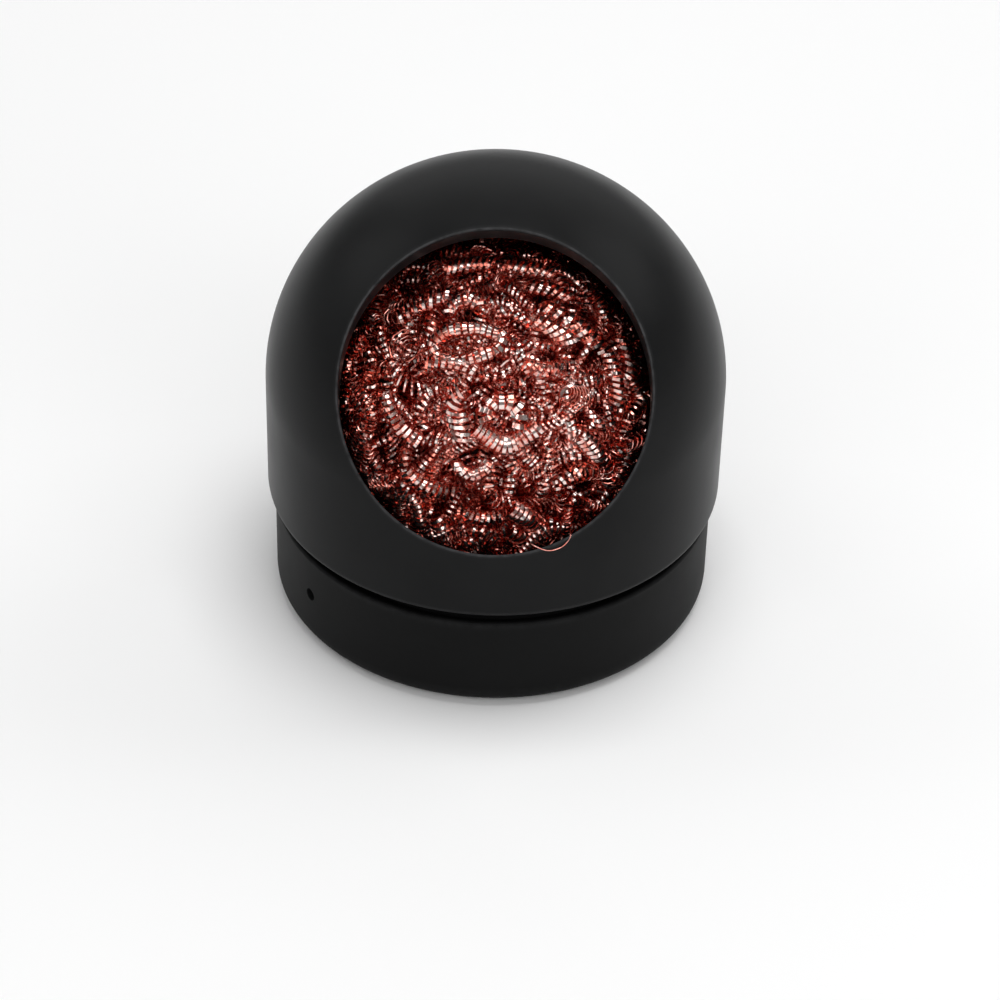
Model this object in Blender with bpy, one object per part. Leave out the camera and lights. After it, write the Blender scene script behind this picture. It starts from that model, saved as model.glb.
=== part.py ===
"""Soldering-tip cleaner: a domed hood with a slanting mouth, on a round base, over a ball of curled wire.

Lengths are metres and +Z is up. The origin is the middle of the foot's underside, and the mouth faces -Y.
"""

import math

import bmesh
import bpy
import numpy as np
from mathutils import Matrix, Vector

MM = 0.001

# Fits
SEAT_GAP = 0.3 * MM
SPIGOT_CLEARANCE = 0.3 * MM
SCREW_CLEARANCE = 0.15 * MM
SPONGE_CLEARANCE = 0.4 * MM

# Base cup
BASE_RADIUS = 27.1 * MM
BASE_WALL = 1.9 * MM
BASE_RIM_Z = 13.0 * MM
BASE_FLOOR_THICKNESS = 2.4 * MM
BASE_FOOT_ROUND = 1.6 * MM
BASE_RIM_ROUND = 0.25 * MM
BASE_BORE_RADIUS = BASE_RADIUS - BASE_WALL

# Foot pad, stuck in a recess under the base
PAD_PROUD = 0.5 * MM
PAD_RECESS_DEPTH = 1.3 * MM
PAD_MARGIN = 4.6 * MM
PAD_EDGE_ROUND = 0.4 * MM
BASE_BOTTOM_Z = PAD_PROUD
RECESS_TOP_Z = BASE_BOTTOM_Z + PAD_RECESS_DEPTH
BASE_FLOOR_Z = RECESS_TOP_Z + BASE_FLOOR_THICKNESS
PAD_RECESS_RADIUS = BASE_RADIUS - PAD_MARGIN

# Friction ring in the dark groove between the hood and the base
GROOVE_HEIGHT = 1.75 * MM
RING_WIDTH = 0.9 * MM
RING_EDGE_ROUND = 0.25 * MM

# Hood
HOOD_RADIUS = 28.0 * MM
HOOD_WALL = 3.6 * MM
HOOD_STRAIGHT = 15.15 * MM
DOME_HEIGHT = 27.1 * MM
HOOD_EDGE_ROUND = 0.5 * MM
HOOD_SHOULDER_Z = BASE_RIM_Z + GROOVE_HEIGHT
DOME_CENTRE_Z = HOOD_SHOULDER_Z + HOOD_STRAIGHT
HOOD_INNER_RADIUS = HOOD_RADIUS - HOOD_WALL

# Spigot of the hood, which slides into the base cup
SPIGOT_WALL = 1.2 * MM
SPIGOT_END_GAP = 0.7 * MM
SPIGOT_SHELF = 1.2 * MM
SPIGOT_OUTER_RADIUS = BASE_BORE_RADIUS - SPIGOT_CLEARANCE
SPIGOT_INNER_RADIUS = SPIGOT_OUTER_RADIUS - SPIGOT_WALL
SPIGOT_END_Z = BASE_FLOOR_Z + SPIGOT_END_GAP

# Mouth, a round bore that slants up through the dome
MOUTH_RADIUS = 18.2 * MM
MOUTH_PITCH = math.radians(48.0)
MOUTH_AXIS_Z = 20.6 * MM
MOUTH_AXIS = Vector((0.0, -math.cos(MOUTH_PITCH), math.sin(MOUTH_PITCH)))

# Set screw in the base wall, which bears on the spigot
SCREW_RADIUS = 0.65 * MM
SCREW_LENGTH = 1.2 * MM
SCREW_POINT = 0.2 * MM
SCREW_SOCKET_ACROSS = 0.65 * MM
SCREW_SOCKET_DEPTH = 0.5 * MM
SCREW_Z = 7.5 * MM
SCREW_BEARING = math.radians(54.1)
SCREW_AXIS = Vector((-math.sin(SCREW_BEARING), -math.cos(SCREW_BEARING), 0.0))
SCREW_TIP_RADIUS = SPIGOT_OUTER_RADIUS + SEAT_GAP

# Wire ball: a packed core with a hollow front, in which strands of curls lie in a spiral.
# Its lower half is drawn down until it stands on the cup's floor.
SPONGE_RADIUS = SPIGOT_INNER_RADIUS - SPONGE_CLEARANCE
SPONGE_DROP = 2.4 * MM
SPONGE_SEAT_RADIUS = 10.0 * MM
SPONGE_CENTRE_Z = DOME_CENTRE_Z - SPONGE_DROP
SPONGE_SEAT_Z = BASE_FLOOR_Z + SEAT_GAP
SPONGE_FACE_PITCH = math.radians(38.0)
FACE_AXIS = Vector((0.0, -math.cos(SPONGE_FACE_PITCH), math.sin(SPONGE_FACE_PITCH)))
WIRE_RADIUS = 0.35 * MM
CURL_RADIUS = 2.0 * MM
CURL_PITCH = 2.3 * MM
STRAND_SPACING_GAP = 0.5 * MM
STRAND_COUNT = 4
CURLS_PER_STRAND = 22
STRAND_END_GAP = 2.4 * MM
SPIRAL_START_ANGLE = math.radians(15.0)
FACE_SHOULDER = math.radians(13.0)
LEAST_WIRE_GAP = 0.4 * MM
CURL_DEPTH = 2.0 * (CURL_RADIUS + WIRE_RADIUS)
CORE_FRONT_RADIUS = SPONGE_RADIUS - CURL_DEPTH - SEAT_GAP
STRAND_AXIS_RADIUS = CORE_FRONT_RADIUS + SEAT_GAP + CURL_DEPTH / 2.0

# Facets
TURN_STEPS = 64
MOUTH_STEPS = 64
DOME_STEPS = 12
ROUND_STEPS = 3
CORE_TURN_STEPS = 40
CORE_PROFILE_STEPS = 22
SCREW_STEPS = 20
POINTS_PER_CURL = 8
WIRE_BEVEL_RESOLUTION = 1
WELD_DISTANCE = 1e-6


def clear_scene():
    for obj in list(bpy.data.objects):
        bpy.data.objects.remove(obj, do_unlink=True)


def make_material(name, colour, roughness, metallic):
    material = bpy.data.materials.new(name)
    material.use_nodes = True
    shader = material.node_tree.nodes["Principled BSDF"]
    shader.inputs["Base Color"].default_value = (*colour, 1.0)
    shader.inputs["Roughness"].default_value = roughness
    shader.inputs["Metallic"].default_value = metallic
    material.diffuse_color = (*colour, 1.0)
    return material


def add_object(name, data, material, parent=None):
    obj = bpy.data.objects.new(name, data)
    bpy.context.scene.collection.objects.link(obj)
    if material is not None:
        data.materials.append(material)
    if parent is not None:
        obj.parent = parent
    return obj


def add_pivot(name, location=(0.0, 0.0, 0.0)):
    pivot = bpy.data.objects.new(name, None)
    pivot.location = location
    bpy.context.scene.collection.objects.link(pivot)
    return pivot


def arc(centre, radii, start_deg, end_deg, steps):
    """Points of an elliptical arc in the (radius, height) half-plane, ends included."""
    points = []
    for k in range(steps + 1):
        angle = math.radians(start_deg + (end_deg - start_deg) * k / steps)
        points.append((centre[0] + radii[0] * math.cos(angle), centre[1] + radii[1] * math.sin(angle)))
    return points


def round_corner(corner, size, start_deg, end_deg, inward):
    """A rounded corner of a turned outline; inward is the direction from the corner to the arc's centre."""
    centre = (corner[0] + inward[0] * size, corner[1] + inward[1] * size)
    return arc(centre, (size, size), start_deg, end_deg, ROUND_STEPS)


def turned_mesh(name, outline, steps, closed=True):
    """A solid turned about Z from an outline of (radius, height) points."""
    bm = bmesh.new()
    verts = [bm.verts.new((r, 0.0, z)) for r, z in outline]
    pairs = list(zip(verts, verts[1:]))
    if closed:
        pairs.append((verts[-1], verts[0]))
    edges = [bm.edges.new(pair) for pair in pairs]
    bmesh.ops.spin(
        bm, geom=verts + edges, cent=(0, 0, 0), axis=(0, 0, 1), angle=math.tau, steps=steps, use_merge=True
    )
    bmesh.ops.remove_doubles(bm, verts=bm.verts, dist=WELD_DISTANCE)
    bmesh.ops.recalc_face_normals(bm, faces=bm.faces)
    return finished_mesh(name, bm)


def finished_mesh(name, bm):
    mesh = bpy.data.meshes.new(name)
    bm.to_mesh(mesh)
    bm.free()
    mesh.shade_smooth()
    mesh.set_sharp_from_angle(angle=math.radians(35.0))
    return mesh


def cylinder_cutter(name, radius, start, axis, length, sides):
    """A hidden cylinder that starts at a point and runs along an axis."""
    bm = bmesh.new()
    bmesh.ops.create_cone(
        bm, cap_ends=True, segments=sides, radius1=radius, radius2=radius, depth=length
    )
    bmesh.ops.translate(bm, verts=bm.verts, vec=(0.0, 0.0, length / 2.0))
    bmesh.ops.recalc_face_normals(bm, faces=bm.faces)
    cutter = add_object(name, finished_mesh(name, bm), None)
    cutter.matrix_world = Matrix.Translation(start) @ axis.to_track_quat("Z", "Y").to_matrix().to_4x4()
    cutter.hide_render = True
    cutter.display_type = "WIRE"
    return cutter


def cut(obj, cutter, name):
    modifier = obj.modifiers.new(name, "BOOLEAN")
    modifier.operation = "DIFFERENCE"
    modifier.solver = "EXACT"
    modifier.object = cutter


def base_outline():
    outline = [(0.0, RECESS_TOP_Z), (PAD_RECESS_RADIUS, RECESS_TOP_Z), (PAD_RECESS_RADIUS, BASE_BOTTOM_Z)]
    outline += round_corner((BASE_RADIUS, BASE_BOTTOM_Z), BASE_FOOT_ROUND, -90, 0, (-1, 1))
    outline += round_corner((BASE_RADIUS, BASE_RIM_Z), BASE_RIM_ROUND, 0, 90, (-1, -1))
    outline += [(BASE_BORE_RADIUS, BASE_RIM_Z), (BASE_BORE_RADIUS, BASE_FLOOR_Z), (0.0, BASE_FLOOR_Z)]
    return outline


def build_base(material, parent):
    """The turned cup that stands on the bench, with the set screw's hole through its wall."""
    base = add_object("base_cup", turned_mesh("base_cup", base_outline(), TURN_STEPS), material, parent)
    inside = Vector((0, 0, SCREW_Z)) + SCREW_AXIS * (BASE_BORE_RADIUS - BASE_WALL)
    hole = cylinder_cutter(
        "screw_hole_cutter", SCREW_RADIUS + SCREW_CLEARANCE, inside, SCREW_AXIS, 3.0 * BASE_WALL, SCREW_STEPS
    )
    cut(base, hole, "screw_hole")


def build_pad(material, parent):
    """The non-slip disc that fills the recess under the base and stands a little proud of it."""
    radius = PAD_RECESS_RADIUS - SEAT_GAP
    top = RECESS_TOP_Z - SEAT_GAP
    outline = [(0.0, 0.0)]
    outline += round_corner((radius, 0.0), PAD_EDGE_ROUND, -90, 0, (-1, 1))
    outline += [(radius, top), (0.0, top)]
    add_object("foot_pad", turned_mesh("foot_pad", outline, TURN_STEPS), material, parent)


def build_ring(material, parent):
    """The rubber ring on the spigot, between the hood's shoulder and the base's rim."""
    inner = SPIGOT_OUTER_RADIUS + SEAT_GAP
    outer = inner + RING_WIDTH
    low = BASE_RIM_Z + SEAT_GAP
    high = HOOD_SHOULDER_Z - SEAT_GAP
    outline = [(inner, low)]
    outline += round_corner((outer, low), RING_EDGE_ROUND, -90, 0, (-1, 1))
    outline += round_corner((outer, high), RING_EDGE_ROUND, 0, 90, (-1, -1))
    outline += [(inner, high)]
    add_object("friction_ring", turned_mesh("friction_ring", outline, TURN_STEPS), material, parent)


def hood_outline():
    shelf_top = HOOD_SHOULDER_Z + SPIGOT_SHELF + (HOOD_INNER_RADIUS - SPIGOT_INNER_RADIUS)
    outline = [(SPIGOT_INNER_RADIUS, SPIGOT_END_Z), (SPIGOT_OUTER_RADIUS, SPIGOT_END_Z)]
    outline += [(SPIGOT_OUTER_RADIUS, HOOD_SHOULDER_Z)]
    outline += round_corner((HOOD_RADIUS, HOOD_SHOULDER_Z), HOOD_EDGE_ROUND, -90, 0, (-1, 1))
    outline += arc((0.0, DOME_CENTRE_Z), (HOOD_RADIUS, DOME_HEIGHT), 0, 90, DOME_STEPS)
    outline += arc((0.0, DOME_CENTRE_Z), (HOOD_INNER_RADIUS, DOME_HEIGHT - HOOD_WALL), 90, 0, DOME_STEPS)
    outline += [(HOOD_INNER_RADIUS, shelf_top), (SPIGOT_INNER_RADIUS, HOOD_SHOULDER_Z + SPIGOT_SHELF)]
    return outline


def build_hood(material, parent):
    """The domed shell with its spigot below and its slanting mouth in front."""
    hood = add_object("hood", turned_mesh("hood", hood_outline(), TURN_STEPS), material, parent)
    start = Vector((0, 0, MOUTH_AXIS_Z)) + MOUTH_AXIS * (MOUTH_RADIUS / 2.0)
    bore = cylinder_cutter(
        "mouth_cutter", MOUTH_RADIUS, start, MOUTH_AXIS, 2.0 * HOOD_RADIUS, MOUTH_STEPS
    )
    cut(hood, bore, "mouth")


def build_screw(material, parent):
    """The headless set screw: a pointed stub with a hexagon socket, made along +Z and laid on its axis."""
    flat = SCREW_RADIUS - SCREW_POINT
    outline = [(0.0, 0.0), (flat, 0.0), (SCREW_RADIUS, SCREW_POINT)]
    outline += [(SCREW_RADIUS, SCREW_LENGTH), (0.0, SCREW_LENGTH)]
    screw = add_object("set_screw", turned_mesh("set_screw", outline, SCREW_STEPS), material, parent)
    place = Vector((0, 0, SCREW_Z)) + SCREW_AXIS * SCREW_TIP_RADIUS
    screw.matrix_world = Matrix.Translation(place) @ SCREW_AXIS.to_track_quat("Z", "Y").to_matrix().to_4x4()
    socket_floor = place + SCREW_AXIS * (SCREW_LENGTH - SCREW_SOCKET_DEPTH)
    corner_radius = SCREW_SOCKET_ACROSS / math.sqrt(3.0)
    socket = cylinder_cutter(
        "screw_socket_cutter", corner_radius, socket_floor, SCREW_AXIS, 2.0 * SCREW_SOCKET_DEPTH, 6
    )
    cut(screw, socket, "socket")


def spiral_step():
    """Angle at the ball's middle between one turn of the spiral and the next."""
    return (CURL_DEPTH + STRAND_SPACING_GAP) / STRAND_AXIS_RADIUS


def spiral_end_angle():
    """Polar angle at which the last strand of the spiral ends."""
    length = STRAND_COUNT * CURLS_PER_STRAND * CURL_PITCH + (STRAND_COUNT - 1) * STRAND_END_GAP
    drop = length * spiral_step() / (math.tau * STRAND_AXIS_RADIUS)
    return math.acos(max(-1.0, math.cos(SPIRAL_START_ANGLE) - drop))


def settled(points):
    """Draws points below the ball's middle down, so that the ball stands on a flat of the seat's radius."""
    flat = math.sqrt(1.0 - (SPONGE_SEAT_RADIUS / SPONGE_RADIUS) ** 2)
    stretch = (SPONGE_CENTRE_Z - SPONGE_SEAT_Z) / (SPONGE_RADIUS * flat)
    moved = np.array(points, dtype=float)
    below = np.minimum(moved[:, 2] - SPONGE_CENTRE_Z, 0.0)
    moved[:, 2] += below * (stretch - 1.0)
    return moved


def core_radius(polar):
    """The core is drawn back under the strands and swells to the ball's full size round them."""
    shoulder_start = spiral_end_angle() + math.asin((CURL_DEPTH / 2.0 + SEAT_GAP) / STRAND_AXIS_RADIUS)
    share = min(1.0, max(0.0, (polar - shoulder_start) / FACE_SHOULDER))
    smooth = share * share * (3.0 - 2.0 * share)
    return CORE_FRONT_RADIUS + (SPONGE_RADIUS - CORE_FRONT_RADIUS) * smooth


def build_core(material, parent):
    """The packed body of the wire ball, cut flat where it stands in the cup."""
    outline = []
    for k in range(CORE_PROFILE_STEPS + 1):
        polar = math.pi * k / CORE_PROFILE_STEPS
        radius = core_radius(polar)
        outline.append((radius * math.sin(polar), radius * math.cos(polar)))
    outline[0] = (0.0, outline[0][1])
    outline[-1] = (0.0, outline[-1][1])
    mesh = turned_mesh("wire_core", outline, CORE_TURN_STEPS, closed=False)
    centre = Vector((0.0, 0.0, SPONGE_CENTRE_Z))
    mesh.transform(Matrix.Translation(centre) @ FACE_AXIS.to_track_quat("Z", "Y").to_matrix().to_4x4())
    bm = bmesh.new()
    bm.from_mesh(mesh)
    for vert, place in zip(bm.verts, settled([v.co for v in bm.verts])):
        vert.co = place
    floor = Vector((0.0, 0.0, SPONGE_SEAT_Z))
    bmesh.ops.bisect_plane(
        bm,
        geom=bm.verts[:] + bm.edges[:] + bm.faces[:],
        plane_co=floor,
        plane_no=(0, 0, 1),
        clear_inner=True,
    )
    bmesh.ops.holes_fill(bm, edges=[e for e in bm.edges if e.is_boundary])
    bmesh.ops.triangulate(bm, faces=[f for f in bm.faces if len(f.verts) > 4])
    bmesh.ops.recalc_face_normals(bm, faces=bm.faces)
    add_object("wire_core", finished_mesh("wire_core", bm), material, parent)


def spiral_point(length):
    """Where the strands' common centre line is after this length of spiral."""
    drop = length * spiral_step() / (math.tau * STRAND_AXIS_RADIUS)
    polar = np.arccos(math.cos(SPIRAL_START_ANGLE) - drop)
    turn = (polar - SPIRAL_START_ANGLE) * math.tau / spiral_step()
    side = np.array((1.0, 0.0, 0.0))
    face = np.array(FACE_AXIS)
    rise = np.cross(face, side)
    across = np.cos(turn)[:, None] * side + np.sin(turn)[:, None] * rise
    outward = np.cos(polar)[:, None] * face + np.sin(polar)[:, None] * across
    return np.array((0.0, 0.0, SPONGE_CENTRE_Z)) + STRAND_AXIS_RADIUS * outward, outward


def strand_points(index):
    """Points along one strand: curls of a helix wound round the spiral's centre line."""
    start = index * (CURLS_PER_STRAND * CURL_PITCH + STRAND_END_GAP)
    count = CURLS_PER_STRAND * POINTS_PER_CURL + 1
    along = np.arange(count) * CURL_PITCH / POINTS_PER_CURL
    line, outward = spiral_point(start + along)
    tangent = np.gradient(line, axis=0)
    tangent /= np.linalg.norm(tangent, axis=1)[:, None]
    sideways = np.cross(tangent, outward)
    phase = (math.tau * along / CURL_PITCH)[:, None]
    return settled(line + CURL_RADIUS * (np.cos(phase) * outward + np.sin(phase) * sideways))


def least_gap(points):
    """Smallest clear distance between a wire's points and those more than a quarter curl further along it."""
    apart = np.linalg.norm(points[:, None, :] - points[None, :, :], axis=2)
    index = np.arange(len(points))
    neighbours = np.abs(index[:, None] - index[None, :]) <= POINTS_PER_CURL // 4
    apart[neighbours] = np.inf
    return apart.min() - 2.0 * WIRE_RADIUS


def build_strand(index, material, parent):
    """One strand of curled wire, a single unbroken tube."""
    points = strand_points(index)
    gap = least_gap(points)
    name = f"wire_strand_{index + 1}"
    print(f"{name}: least gap to itself {gap / MM:.2f} mm, wanted over {LEAST_WIRE_GAP / MM:.2f} mm")
    curve = bpy.data.curves.new(name, "CURVE")
    curve.dimensions = "3D"
    curve.bevel_depth = WIRE_RADIUS
    curve.bevel_resolution = WIRE_BEVEL_RESOLUTION
    curve.use_fill_caps = True
    spline = curve.splines.new("POLY")
    spline.points.add(len(points) - 1)
    for point, place in zip(spline.points, points):
        point.co = (*place, 1.0)
    add_object(name, curve, material, parent)


def main():
    clear_scene()
    black_alloy = make_material("black_anodised_alloy", (0.018, 0.018, 0.019), 0.5, 0.3)
    rubber = make_material("black_rubber", (0.012, 0.012, 0.012), 0.8, 0.0)
    steel = make_material("blackened_steel", (0.06, 0.06, 0.065), 0.4, 1.0)
    copper = make_material("copper_wire", (0.72, 0.26, 0.16), 0.22, 1.0)
    base_pivot = add_pivot("base_pivot")
    ring_pivot = add_pivot("ring_pivot")
    hood_pivot = add_pivot("hood_pivot")
    build_base(black_alloy, base_pivot)
    build_pad(rubber, base_pivot)
    build_screw(steel, None)
    build_ring(rubber, ring_pivot)
    build_hood(black_alloy, hood_pivot)
    build_core(copper, base_pivot)
    for index in range(STRAND_COUNT):
        build_strand(index, copper, base_pivot)


main()
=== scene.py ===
"""Looks of the soldering-tip cleaner: a satin black casing round a ball of curled copper ribbon.

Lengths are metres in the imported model's frame: +Z is up and the mouth faces -Y.
"""

from __future__ import annotations

import logging
import math
from collections.abc import Sequence
from dataclasses import dataclass, field, replace
from enum import Enum

import bmesh
import bpy
import numpy as np
from mathutils import Matrix, Vector


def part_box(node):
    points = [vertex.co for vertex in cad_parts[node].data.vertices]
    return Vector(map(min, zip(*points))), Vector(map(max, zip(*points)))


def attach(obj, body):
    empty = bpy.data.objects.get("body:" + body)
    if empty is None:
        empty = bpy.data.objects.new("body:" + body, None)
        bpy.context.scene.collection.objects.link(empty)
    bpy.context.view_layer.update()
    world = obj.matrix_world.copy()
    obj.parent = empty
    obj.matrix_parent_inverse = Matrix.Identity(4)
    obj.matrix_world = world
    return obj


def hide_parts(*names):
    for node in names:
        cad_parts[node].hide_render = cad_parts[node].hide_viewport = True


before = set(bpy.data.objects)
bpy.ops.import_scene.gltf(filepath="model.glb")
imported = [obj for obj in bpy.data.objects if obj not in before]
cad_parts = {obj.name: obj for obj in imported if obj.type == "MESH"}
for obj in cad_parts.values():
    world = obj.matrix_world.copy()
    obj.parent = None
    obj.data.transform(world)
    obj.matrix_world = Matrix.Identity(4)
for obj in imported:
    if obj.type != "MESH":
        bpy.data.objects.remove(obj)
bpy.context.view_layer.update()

LOG = logging.getLogger("tip_cleaner")
MM = 0.001
SHARP_EDGE = math.radians(40.0)
# The worn tone marks handling wear, and also paints highlights on the mouth's lip, the lower edges and the
# copper curl crests.
WEAR_AND_HIGHLIGHT_LAYER = "edge_wear_and_highlight"

Pair = tuple[float, float]
Triple = tuple[float, float, float]


class Ends(Enum):
    """How the first and last rings of a loft are closed."""

    CAPPED = "capped"
    JOINED = "joined"


class Hand(Enum):
    """Which way a curl winds."""

    LEFT = -1
    RIGHT = 1


# Geometry helpers


def unit(rows: np.ndarray) -> np.ndarray:
    """Scales each row to length one."""
    return rows / np.linalg.norm(rows, axis=1)[:, None]


def square_to(rows: np.ndarray, axes: np.ndarray) -> np.ndarray:
    """The direction of each row once what runs along its axis is taken away."""
    return unit(rows - np.sum(rows * axes, axis=1)[:, None] * axes)


def ramp(value: float, band: Pair) -> float:
    """How far a value has come through a band, from 0 to 1."""
    return max(0.0, min(1.0, (value - band[0]) / (band[1] - band[0])))


def rounded(start: np.ndarray, corner: np.ndarray, end: np.ndarray, t: float) -> np.ndarray:
    """Points at one share of the way along curves that round off corners."""
    return (1 - t) ** 2 * start + 2 * t * (1 - t) * corner + t**2 * end


def about_z(radius: float | np.ndarray, turn: np.ndarray, z: float | np.ndarray) -> np.ndarray:
    """Points at given distances from Z, angles about it and heights."""
    return np.column_stack((radius * np.cos(turn), radius * np.sin(turn), np.broadcast_to(z, turn.shape)))


def arc(centre: Pair, size: float, start: float, end: float, steps: int) -> list[Pair]:
    """Points of a circular arc in the half-plane of radius and height.

    Args:
        centre: The arc's centre.
        size: Its radius.
        start: First angle in degrees.
        end: Last angle in degrees.
        steps: Number of chords.

    Returns:
        The points, ends included.
    """
    angles = np.radians(np.linspace(start, end, steps + 1))
    return [(centre[0] + size * math.cos(a), centre[1] + size * math.sin(a)) for a in angles]


def with_wear_and_highlight(points: list[Pair], amount: float) -> list[Triple]:
    """Gives a stretch of an outline one amount of the worn tone, which is handling wear on some edges and a
    painted highlight on others.
    """
    return [(r, z, amount) for r, z in points]


# Mesh helpers


def finish_mesh(mesh: bpy.types.Mesh) -> None:
    """Turns a mesh's faces outwards and shades them smooth between sharp edges."""
    bm = bmesh.new()
    bm.from_mesh(mesh)
    bmesh.ops.recalc_face_normals(bm, faces=bm.faces)
    bm.to_mesh(mesh)
    bm.free()
    mesh.shade_smooth()
    mesh.set_sharp_from_angle(angle=SHARP_EDGE)


def link(name: str, data: bpy.types.ID) -> bpy.types.Object:
    """Puts a mesh, lamp or camera into the scene.

    Args:
        name: The object's name.
        data: What it shows.

    Returns:
        The new object.
    """
    obj = bpy.data.objects.new(name, data)
    bpy.context.scene.collection.objects.link(obj)
    return obj


def skin(name: str, points: np.ndarray, faces: list[Sequence[int]], wear_and_highlight: np.ndarray) -> bpy.types.Object:
    """Makes an object from points and faces.

    Args:
        name: The object's name.
        points: Rows of points.
        faces: The numbers of each face's points.
        wear_and_highlight: How far each point takes the worn tone, from 0 to 1: handling wear, and a painted
            highlight along the lip, the lower edges and the curl crests.

    Returns:
        The new object.
    """
    mesh = bpy.data.meshes.new(name)
    mesh.from_pydata(points.tolist(), [], faces)
    finish_mesh(mesh)
    layer = mesh.attributes.new(WEAR_AND_HIGHLIGHT_LAYER, "FLOAT", "POINT")
    layer.data.foreach_set("value", wear_and_highlight.astype(np.float32))
    return link(name, mesh)


def loft(name: str, rings: list[np.ndarray], wear_and_highlight: list[float], ends: Ends) -> bpy.types.Object:
    """Skins a run of rings that all have the same number of points.

    Args:
        name: The object's name.
        rings: Arrays of points, one for each ring.
        wear_and_highlight: How far each ring takes the worn tone, from 0 to 1: handling wear, and a painted
            highlight on some edges.
        ends: How the two ends are closed.

    Returns:
        The new object.
    """
    count = len(rings[0])
    ring_total = len(rings)
    spans = ring_total if ends is Ends.JOINED else ring_total - 1
    faces: list[Sequence[int]] = []
    for low in range(spans):
        high = (low + 1) % ring_total
        for i in range(count):
            j = (i + 1) % count
            faces.append((low * count + i, low * count + j, high * count + j, high * count + i))
    if ends is Ends.CAPPED:
        faces.append(tuple(range(count)))
        faces.append(tuple(range((ring_total - 1) * count, ring_total * count)))
    return skin(name, np.concatenate(rings), faces, np.repeat(wear_and_highlight, count))


def turned(name: str, outline: list[Triple], steps: int, ends: Ends) -> bpy.types.Object:
    """Turns an outline about Z.

    Args:
        name: The object's name.
        outline: Points of radius, height and worn tone, the last standing for handling wear on some edges and
            a painted highlight on others.
        steps: Points in each ring.
        ends: How the two ends of the outline are closed.

    Returns:
        The new object.
    """
    angles = np.arange(steps) * math.tau / steps
    rings = [about_z(r, angles, z) for r, z, _ in outline]
    return loft(name, rings, [rub_and_highlight for _, _, rub_and_highlight in outline], ends)


def carve(piece: bpy.types.Object, cutter: bpy.types.Object) -> None:
    """Cuts one mesh out of another for good, and removes the cutter.

    Args:
        piece: The mesh that is cut.
        cutter: The mesh that is taken away.
    """
    modifier = piece.modifiers.new("carve", "BOOLEAN")
    modifier.operation = "DIFFERENCE"
    modifier.solver = "EXACT"
    modifier.object = cutter
    bpy.context.view_layer.update()
    cut = bpy.data.meshes.new_from_object(piece.evaluated_get(bpy.context.evaluated_depsgraph_get()))
    piece.modifiers.remove(modifier)
    piece.data = cut
    cut.set_sharp_from_angle(angle=SHARP_EDGE)
    bpy.data.objects.remove(cutter, do_unlink=True)


# Shader node groups

# Noise scales are waves per metre. A band is the stretch of noise that is spread over the whole range.
FINE_OCTAVES = 3.0
SLOW_OCTAVES = 4.0
GLOSS_SCALE = 120.0
GLOSS_BAND = {"From Min": 0.3, "From Max": 0.7}
TONE_BAND = {"From Min": 0.35, "From Max": 0.65}
BREAK_SCALE = 900.0
BREAK_TOP = {"From Max": 0.62}


class Socket(Enum):
    """Kinds of socket on a node group."""

    NUMBER = "NodeSocketFloat"
    COLOUR = "NodeSocketColor"


def new_group(name: str, inputs: dict[str, Socket], outputs: dict[str, Socket]) -> bpy.types.NodeTree:
    """Makes an empty shader node group with named sockets.

    Args:
        name: The group's name.
        inputs: Input names and kinds.
        outputs: Output names and kinds.

    Returns:
        The group's node tree, with nodes named "in" and "out".
    """
    tree = bpy.data.node_groups.new(name, "ShaderNodeTree")
    for label, kind in inputs.items():
        tree.interface.new_socket(name=label, in_out="INPUT", socket_type=kind.value)
    for label, kind in outputs.items():
        tree.interface.new_socket(name=label, in_out="OUTPUT", socket_type=kind.value)
    tree.nodes.new("NodeGroupInput").name = "in"
    tree.nodes.new("NodeGroupOutput").name = "out"
    return tree


def add_node(
    tree: bpy.types.NodeTree, kind: str, inputs: dict[str, object] | None = None, **values: object
) -> bpy.types.Node:
    """Adds a shader node.

    Args:
        tree: The tree that takes it.
        kind: The node's type, without its ShaderNode prefix.
        inputs: Values of its inputs.
        **values: Properties of the node.

    Returns:
        The new node.
    """
    node = tree.nodes.new("ShaderNode" + kind)
    for key, value in values.items():
        setattr(node, key, value)
    for label, value in (inputs or {}).items():
        node.inputs[label].default_value = value
    return node


def connect(
    tree: bpy.types.NodeTree, *wires: tuple[bpy.types.Node, str | int, bpy.types.Node, str | int]
) -> None:
    """Links nodes.

    Args:
        tree: The tree that holds them.
        *wires: Each link's first node and its output, and second node and its input.
    """
    for source, output, sink, socket in wires:
        tree.links.new(source.outputs[output], sink.inputs[socket])


def noise(tree: bpy.types.NodeTree, octaves: float, scale: float | None = None) -> bpy.types.Node:
    """Adds a noise texture in the piece's own coordinates.

    Args:
        tree: The tree that takes it.
        octaves: Its number of octaves.
        scale: Its scale, or None where a link sets it.

    Returns:
        The noise node.
    """
    node = add_node(tree, "TexNoise", {"Detail": octaves})
    if scale is not None:
        node.inputs["Scale"].default_value = scale
    connect(tree, (add_node(tree, "TexCoord"), "Object", node, "Vector"))
    return node


def grain_group() -> bpy.types.NodeTree:
    """A fine even grain with slow drifts in its gloss.

    Returns:
        The node group.
    """
    tree = new_group(
        "fine_grain",
        {"Scale": Socket.NUMBER, "Gloss Low": Socket.NUMBER, "Gloss High": Socket.NUMBER},
        {"Height": Socket.NUMBER, "Roughness": Socket.NUMBER},
    )
    source = tree.nodes["in"]
    sink = tree.nodes["out"]
    fine = noise(tree, FINE_OCTAVES)
    slow = noise(tree, SLOW_OCTAVES, GLOSS_SCALE)
    spread = add_node(tree, "MapRange", GLOSS_BAND)
    connect(
        tree,
        (source, "Scale", fine, "Scale"),
        (slow, "Fac", spread, "Value"),
        (source, "Gloss Low", spread, "To Min"),
        (source, "Gloss High", spread, "To Max"),
        (fine, "Fac", sink, "Height"),
        (spread, "Result", sink, "Roughness"),
    )
    return tree


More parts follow.
